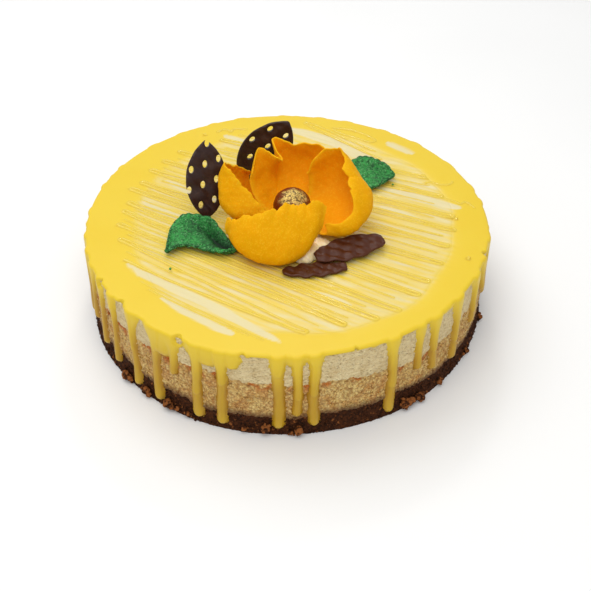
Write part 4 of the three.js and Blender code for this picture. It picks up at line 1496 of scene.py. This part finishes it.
def hollowShare(u, v):
    # how deep the slanting hollow lies, as a share of its full depth
    middle = 0.86 - 0.36 * (v - 0.2)
    across = smooth(0.0, 0.3, v) * (1 - 0.7 * smooth(0.75, 1.0, v))
    return np.exp(-(((u - middle) / 0.12) ** 2)) * across


def paintedHollowShade(u, v):
    # painted shade: how dark the leaf is painted in and round the hollow, behind its near lip
    middle = 0.9 - 0.45 * (v - 0.15)
    core = np.exp(-(((u - middle) / 0.22) ** 2)) * smooth(1.05, 0.45, v)
    wide = 0.85 * smooth(0.42, 0.78, u) * smooth(1.25, 0.5, v)
    return np.maximum(core, wide) * smooth(0.03, 0.16, v)


def makeLeaf(name, form, number, material):
    # a cupped sheet between its near and far edge, toothed along both
    across = np.linspace(0.0, 1.0, leafForm["columns"])
    upward = np.linspace(0.0, 1.0, leafForm["rows"])[:, None]
    near, far = curveThrough(form["near"], across), curveThrough(form["far"], across)
    places = near[None] + (far - near)[None] * upward[..., None]
    teeth = np.sin(19 * math.pi * across)[None, :] * (0.45 * upward**3 - 0.2 * (1 - upward) ** 3)
    places[..., 1] += teeth + 0.2 * ripple(places, 2.4, 120 + number) * np.abs(2 * upward - 1) ** 6
    share = hollowShare(across[None, :], upward)
    cup = form["cup"] * np.sin(math.pi * upward) * np.sin(math.pi * across)[None, :] ** 0.5
    height = places[..., 2] - cup - form["hollow"] * share
    rest = leafForm["rest"]
    height = rest + softMaximum(height - rest, 0.0, 0.25) + 0.18 * ripple(places, 7.0, 100 + number)
    places[..., 2] = cake["glazeTop"] + height + 0.1 * ripple(places, 2.6, 110 + number)
    thickness = leafForm["thickness"] * (0.75 + 0.25 * np.sin(math.pi * upward) ** 0.5)
    sheet, faces = thickSheet(places, thickness, 6)
    piece = meshPiece(pieceName(name), sheet, faces, material)
    count = share.size
    edge = np.ones(len(sheet))
    edge[:count] = 0.0
    # the value deep is painted shade in and round the hollow, on the top face
    deep = np.zeros(len(sheet))
    deep[:count] = (paintedHollowShade(across[None, :], upward) * form["hollow"] / 6.0).ravel()
    storeValue(piece, "edge", edge)
    storeValue(piece, "deep", deep)
    finishPiece(piece, "leaf", name)


# Chocolate plates

plates = {   # size, places of the holes, middle, and directions across and along
    "chocolate_left": {
        "length": 45, "width": 23, "waver": 0.0, "blunt": 0.0, "emboss": 0.5,
        "lattice": {"start": (-2.2, -2.6), "right": (8.2, 3), "up": (-6.8, 9)},
        "place": (-47.5, 5.9, 81.1), "across": (0.95, 0.28, -0.14), "up": (0.2, 19, 40),
    },
    "chocolate_rear": {
        "length": 48.5, "width": 28, "waver": 0.0, "blunt": 0.0, "emboss": 0.5,
        "lattice": {"start": (-0.8, 4.3), "right": (5.8, -10.4), "up": (4.8, 12.1)},
        "place": (-13.8, 41.5, 78.1), "across": (0.8, 0, -0.6), "up": (27, 4, 37),
    },
    "chocolate_upper": {
        "length": 41, "width": 15, "waver": 0.5, "blunt": 0.2, "emboss": 0.6, "lattice": None,
        "place": (35.7, -35.9, 63.4), "across": (-0.4, 1, 0.22), "up": (1, 0.4, 0.03),
    },
    "chocolate_lower": {
        "length": 35, "width": 11, "waver": 0.4, "blunt": 0.2, "emboss": 0.6, "lattice": None,
        "place": (15.5, -51.3, 60.1), "across": (-0.14, 1, -0.05), "up": (1, 0.14, 0),
    },
}
lyingLattice = {"start": (0.0, 0.0), "right": (5.4, 2.0), "up": (-4.4, 6.4)}

plateForm = {
    "thickness": 1.8,
    "hole": (1.5, 2.2),   # half its width and half its length
    "steps": 110,
    "across": 41,
}


def plateFrame(form):
    x = np.array(form["across"], float)
    x /= np.linalg.norm(x)
    y = np.array(form["up"], float)
    y -= x * (y @ x)
    y /= np.linalg.norm(y)
    return np.stack([x, y, np.cross(x, y)]), np.array(form["place"], float)


def bulgeAt(form, y):
    # half the width of the pointed oval at a place along it; blunt is the share of its length
    # by which its two arcs would meet further out
    sag = form["width"] / 2
    radius = ((form["length"] * (1 + form["blunt"]) / 2) ** 2 + sag**2) / (2 * sag)
    return np.sqrt(np.maximum(radius**2 - y**2, 0.0)) - (radius - sag)


def embossed(form, x, y):
    # the face is pressed in at each place of a slanted lattice, and puffed up between them
    lattice = form["lattice"] or lyingLattice
    (a, b), (c, d) = lattice["right"], lattice["up"]
    x, y = x - lattice["start"][0], y - lattice["start"][1]
    i, j = (x * d - y * c) / (a * d - b * c), (y * a - x * b) / (a * d - b * c)
    return form["emboss"] * (1 - 0.5 * np.cos(2 * math.pi * i) - 0.5 * np.cos(2 * math.pi * j))


def plateSheet(name, form, material):
    # the plate lying flat, as a sheet between its two edges
    steps, across, thickness = (plateForm[key] for key in ("steps", "across", "thickness"))
    y = np.linspace(-0.498, 0.498, steps)[None, :] * form["length"]
    half = np.maximum(bulgeAt(form, y), 0.12)
    half = half + form["waver"] * np.sin(7 * math.pi * (0.5 - y / form["length"])) * (half > 1.0)
    x = np.linspace(1.0, -1.0, across)[:, None] * half
    sheet, faces = thickSheet(stacked(x, y, embossed(form, x, y)), thickness, 6)
    return meshPiece(name, sheet, faces, material)


def standPlate(piece, form):
    # turns a flat plate into its place
    turn, place = plateFrame(form)
    flat = np.array([vertex.co for vertex in piece.data.vertices]) / mm
    piece.data.vertices.foreach_set("co", ((flat @ turn + place) * mm).ravel())
    piece.data.update()


def makeHoleTree():
    # cuts upright cylinders out of a plate, one at each point of a second object
    tree, given, wanted = newGroup(
        "pierce", "GeometryNodeTree",
        [
            ("Geometry", "Geometry", None), ("Points", "Object", None), ("Width", "Float", 0.0),
            ("Height", "Float", 0.0), ("Depth", "Float", 0.0), ("Material", "Material", None),
        ],
        [("Geometry", "Geometry")],
    )
    points = outputOf(addNode(tree, "GeometryNodeObjectInfo", {"Object": given["Points"]}), "Geometry")
    rod = addNode(
        tree, "GeometryNodeMeshCylinder", {"Vertices": 28, "Radius": 1.0, "Depth": given["Depth"]}
    ).outputs["Mesh"]
    shape = addNode(tree, "ShaderNodeCombineXYZ", {"X": given["Width"], "Y": given["Height"], "Z": 1.0})
    rods = addNode(
        tree, "GeometryNodeInstanceOnPoints",
        {"Points": points, "Instance": rod, "Scale": shape.outputs["Vector"]},
    )
    solid = addNode(tree, "GeometryNodeRealizeInstances", {"Geometry": rods.outputs["Instances"]})
    cut = addNode(
        tree, "GeometryNodeMeshBoolean",
        {"Mesh 1": given["Geometry"], "Mesh 2": solid.outputs["Geometry"]},
        operation="DIFFERENCE", solver="EXACT",
    )
    return finishTree(tree, cut.outputs["Mesh"], given, wanted)


def latticeHoles(form):
    start, right, up = (form["lattice"][key] for key in ("start", "right", "up"))
    holes = []
    for i in range(-5, 6):
        for j in range(-5, 6):
            x = start[0] + i * right[0] + j * up[0]
            y = start[1] + i * right[1] + j * up[1]
            if (2 * x / form["width"]) ** 2 + (2 * y / form["length"]) ** 2 < 1.1:
                holes.append((x, y, 0.0))
    return holes


def pierce(piece, form, material, tree):
    holes = meshPiece(piece.name + "Holes", latticeHoles(form), [])
    width, height = plateForm["hole"]
    applyTree(piece, tree, {
        "Points": holes, "Width": width * mm, "Height": height * mm,
        "Depth": 6 * plateForm["thickness"] * mm, "Material": material,
    })
    bpy.data.objects.remove(holes)
    piece.data.shade_smooth()
    piece.data.set_sharp_from_angle(angle=math.radians(40))


def makePlates():
    standing = chocolateMaterial("darkChocolate")
    lying = chocolateMaterial("milkChocolate")
    tree = makeHoleTree()
    for name, form in plates.items():
        material = standing if form["lattice"] else lying
        piece = plateSheet(pieceName(name), form, material)
        if form["lattice"]:
            pierce(piece, form, material, tree)
        standPlate(piece, form)
        finishPiece(piece, "chocolate", name)
    print("plates done")


# Crumbs and grains

def makeLumpTree():
    # one rough lump at each point, as large as its value size
    tree, given, wanted = newGroup(
        "lumps", "GeometryNodeTree",
        [
            ("Geometry", "Geometry", None), ("Roughness", "Float", 0.4), ("Fineness", "Int", 2),
            ("Seed", "Int", 1), ("Material", "Material", None),
        ],
        [("Geometry", "Geometry")],
    )
    ball = addNode(tree, "GeometryNodeMeshIcoSphere", {"Radius": 1.0, "Subdivisions": given["Fineness"]})
    size = fieldOf(tree, "size")
    turn = addNode(
        tree, "FunctionNodeRandomValue",
        {"Min": (0.0, 0.0, 0.0), "Max": (6.28, 6.28, 6.28), "Seed": given["Seed"]},
        data_type="FLOAT_VECTOR",
    )
    lumps = addNode(
        tree, "GeometryNodeInstanceOnPoints",
        {
            "Points": given["Geometry"], "Instance": ball.outputs["Mesh"],
            "Rotation": outputOf(turn, "Value"), "Scale": size,
        },
    )
    real = addNode(tree, "GeometryNodeRealizeInstances", {"Geometry": lumps.outputs["Instances"]})
    place = addNode(tree, "GeometryNodeInputPosition").outputs["Position"]
    normal = addNode(tree, "GeometryNodeInputNormal").outputs["Normal"]
    noise = noiseOf(tree, place, maths(tree, "DIVIDE", 0.9, size), 2.0)
    push = times(tree, maths(tree, "SUBTRACT", noise, 0.5), given["Roughness"])
    offset = scaled(tree, normal, times(tree, push, size))
    values = {"Geometry": real.outputs["Geometry"], "Offset": offset}
    moved = addNode(tree, "GeometryNodeSetPosition", values)
    return finishTree(tree, moved.outputs["Geometry"], given, wanted)


crumbForm = {
    "heaps": [   # azimuth of the middle, half the spread in degrees, and count of the large crumbs
        (-130, 11, 13), (-110, 10, 4), (-91, 5, 6), (-57, 6, 8), (-30, 20, 3), (60, 60, 5), (150, 30, 3),
    ],
    "dripClearance": 2.9,   # degrees between a large crumb and a drip that reaches as low
    "aroundEach": 5,        # finer crumbs round each large one
    "crustCount": 900,
    "grainCount": 3100,
    "specks": [(-65.4, -50.0, 59.0, 0.7), (66.0, 33.3, 59.2, 0.6)],   # place and size of green crumbs
}

lumpForms = {
    "footCrumbs": {"Roughness": 1.6, "Fineness": 4, "Seed": 3},
    "crustCrumbs": {"Roughness": 1.2, "Fineness": 2, "Seed": 6},
    "fineCrumbs": {"Roughness": 0.9, "Fineness": 2, "Seed": 4},
    "leafCrumbs": {"Roughness": 0.9, "Fineness": 3, "Seed": 8},
    "bakedGrains": {"Roughness": 0.8, "Fineness": 2, "Seed": 5},
}


def footCrumbs():
    # the large crumbs along the foot, where the solid has them
    longDrips = [row[0] for row in dripList() if row[1] < 9]
    lumps = []
    index = 0
    for middle, spread, count in crumbForm["heaps"]:
        for i in range(count):
            index += 1
            azimuth = middle + spread * (2 * (i + chance(index, 21)) / count - 1)
            if any(abs(at - azimuth) < crumbForm["dripClearance"] for at in longDrips):
                continue
            size = 1.3 + 1.3 * chance(index, 22)
            angle = math.radians(azimuth)
            reach = float(sideRadius(angle)) + cake["footFlare"] + 0.3 * size
            height = 1.4 * size + 2.4 * chance(index, 23)
            lumps.append((reach * math.cos(angle), reach * math.sin(angle), height, size))
    return lumps


def smallCrumbs(lumps, seed):
    # finer crumbs round the large ones and along the whole foot
    random = np.random.default_rng(seed)
    found = []
    for x, y, z, _ in lumps:
        for _ in range(crumbForm["aroundEach"]):
            angle = math.atan2(y, x) + random.normal(0.0, 0.02)
            small = random.uniform(0.4, 1.0)
            reach = float(sideRadius(angle)) + cake["footFlare"] + 0.2 * small
            height = max(0.8 * small, z + random.normal(0.0, 1.8))
            found.append((reach * math.cos(angle), reach * math.sin(angle), height, small))
    return found


def crustCrumbs(seed):
    # brown crumbs over the whole crumb base
    random = np.random.default_rng(seed)
    count = crumbForm["crustCount"]
    angle = random.uniform(-math.pi, math.pi, count)
    size = random.uniform(0.35, 0.9, count)
    height = size + (cake["crumbHeight"] - 2.0) * random.uniform(0.0, 1.0, count) ** 1.5
    reach = sideRadius(angle) + footSpread(height) - 0.3 - 0.2 * size
    return np.column_stack([reach * np.cos(angle), reach * np.sin(angle), height, size])


def sideGrains(seed):
    # grains that stand out of the baked layer, where no glaze covers it
    random = np.random.default_rng(seed)
    count = crumbForm["grainCount"]
    angle = random.uniform(-math.pi, math.pi, count)
    share = random.uniform(0.04, 0.97, count)
    low, high = crumbLine(angle), creamLine(angle)
    size = random.uniform(0.3, 0.7, count)
    height = low + (high - low) * share
    reach = sideRadius(angle) - 0.2 - 0.3 * size
    bare = glazeField(angle, height) < -0.5
    return np.column_stack([reach * np.cos(angle), reach * np.sin(angle), height, size, share])[bare]


def lumpPiece(name, rows, tree, material, slotName):
    # a row is a lump's place and size, with its level in the layer where the material reads it
    rows = np.asarray(rows, float)
    piece = meshPiece(name, rows[:, :3], [])
    storeValue(piece, "size", rows[:, 3] * mm)
    if rows.shape[1] > 4:
        storeValue(piece, "level", rows[:, 4])
    applyTree(piece, tree, {"Material": material, **lumpForms[name]})
    piece.data.shade_smooth()
    finishPiece(piece, slotName)


def makeCrumbs(bakedCrumb, green):
    tree = makeLumpTree()
    large = footCrumbs()
    amber, brown = crumbMaterial("amberCrumb"), crumbMaterial("brownCrumb")
    lumpPiece("footCrumbs", large, tree, amber, "crumb")
    lumpPiece("crustCrumbs", crustCrumbs(6), tree, brown, "crumb")
    lumpPiece("fineCrumbs", smallCrumbs(large, 5), tree, amber, "crumb")
    lumpPiece("leafCrumbs", crumbForm["specks"], tree, green, "leaf")
    lumpPiece("bakedGrains", sideGrains(7), tree, bakedCrumb, "baked")
    print("crumbs done")


# Everything in turn

bakedCrumb = bakedMaterial()
makeLayers(bakedCrumb)
makeGlaze()
paste = petalMaterial()
for number, (name, form) in enumerate(petals.items()):
    makePetal(name, form, number, paste)
makePearl()
makeDab()
green = leafMaterial()
for number, (name, form) in enumerate(leaves.items()):
    makeLeaf(name, form, number, green)
print("flower done")
makePlates()
makeCrumbs(bakedCrumb, green)
makeStudio()
makeCamera()
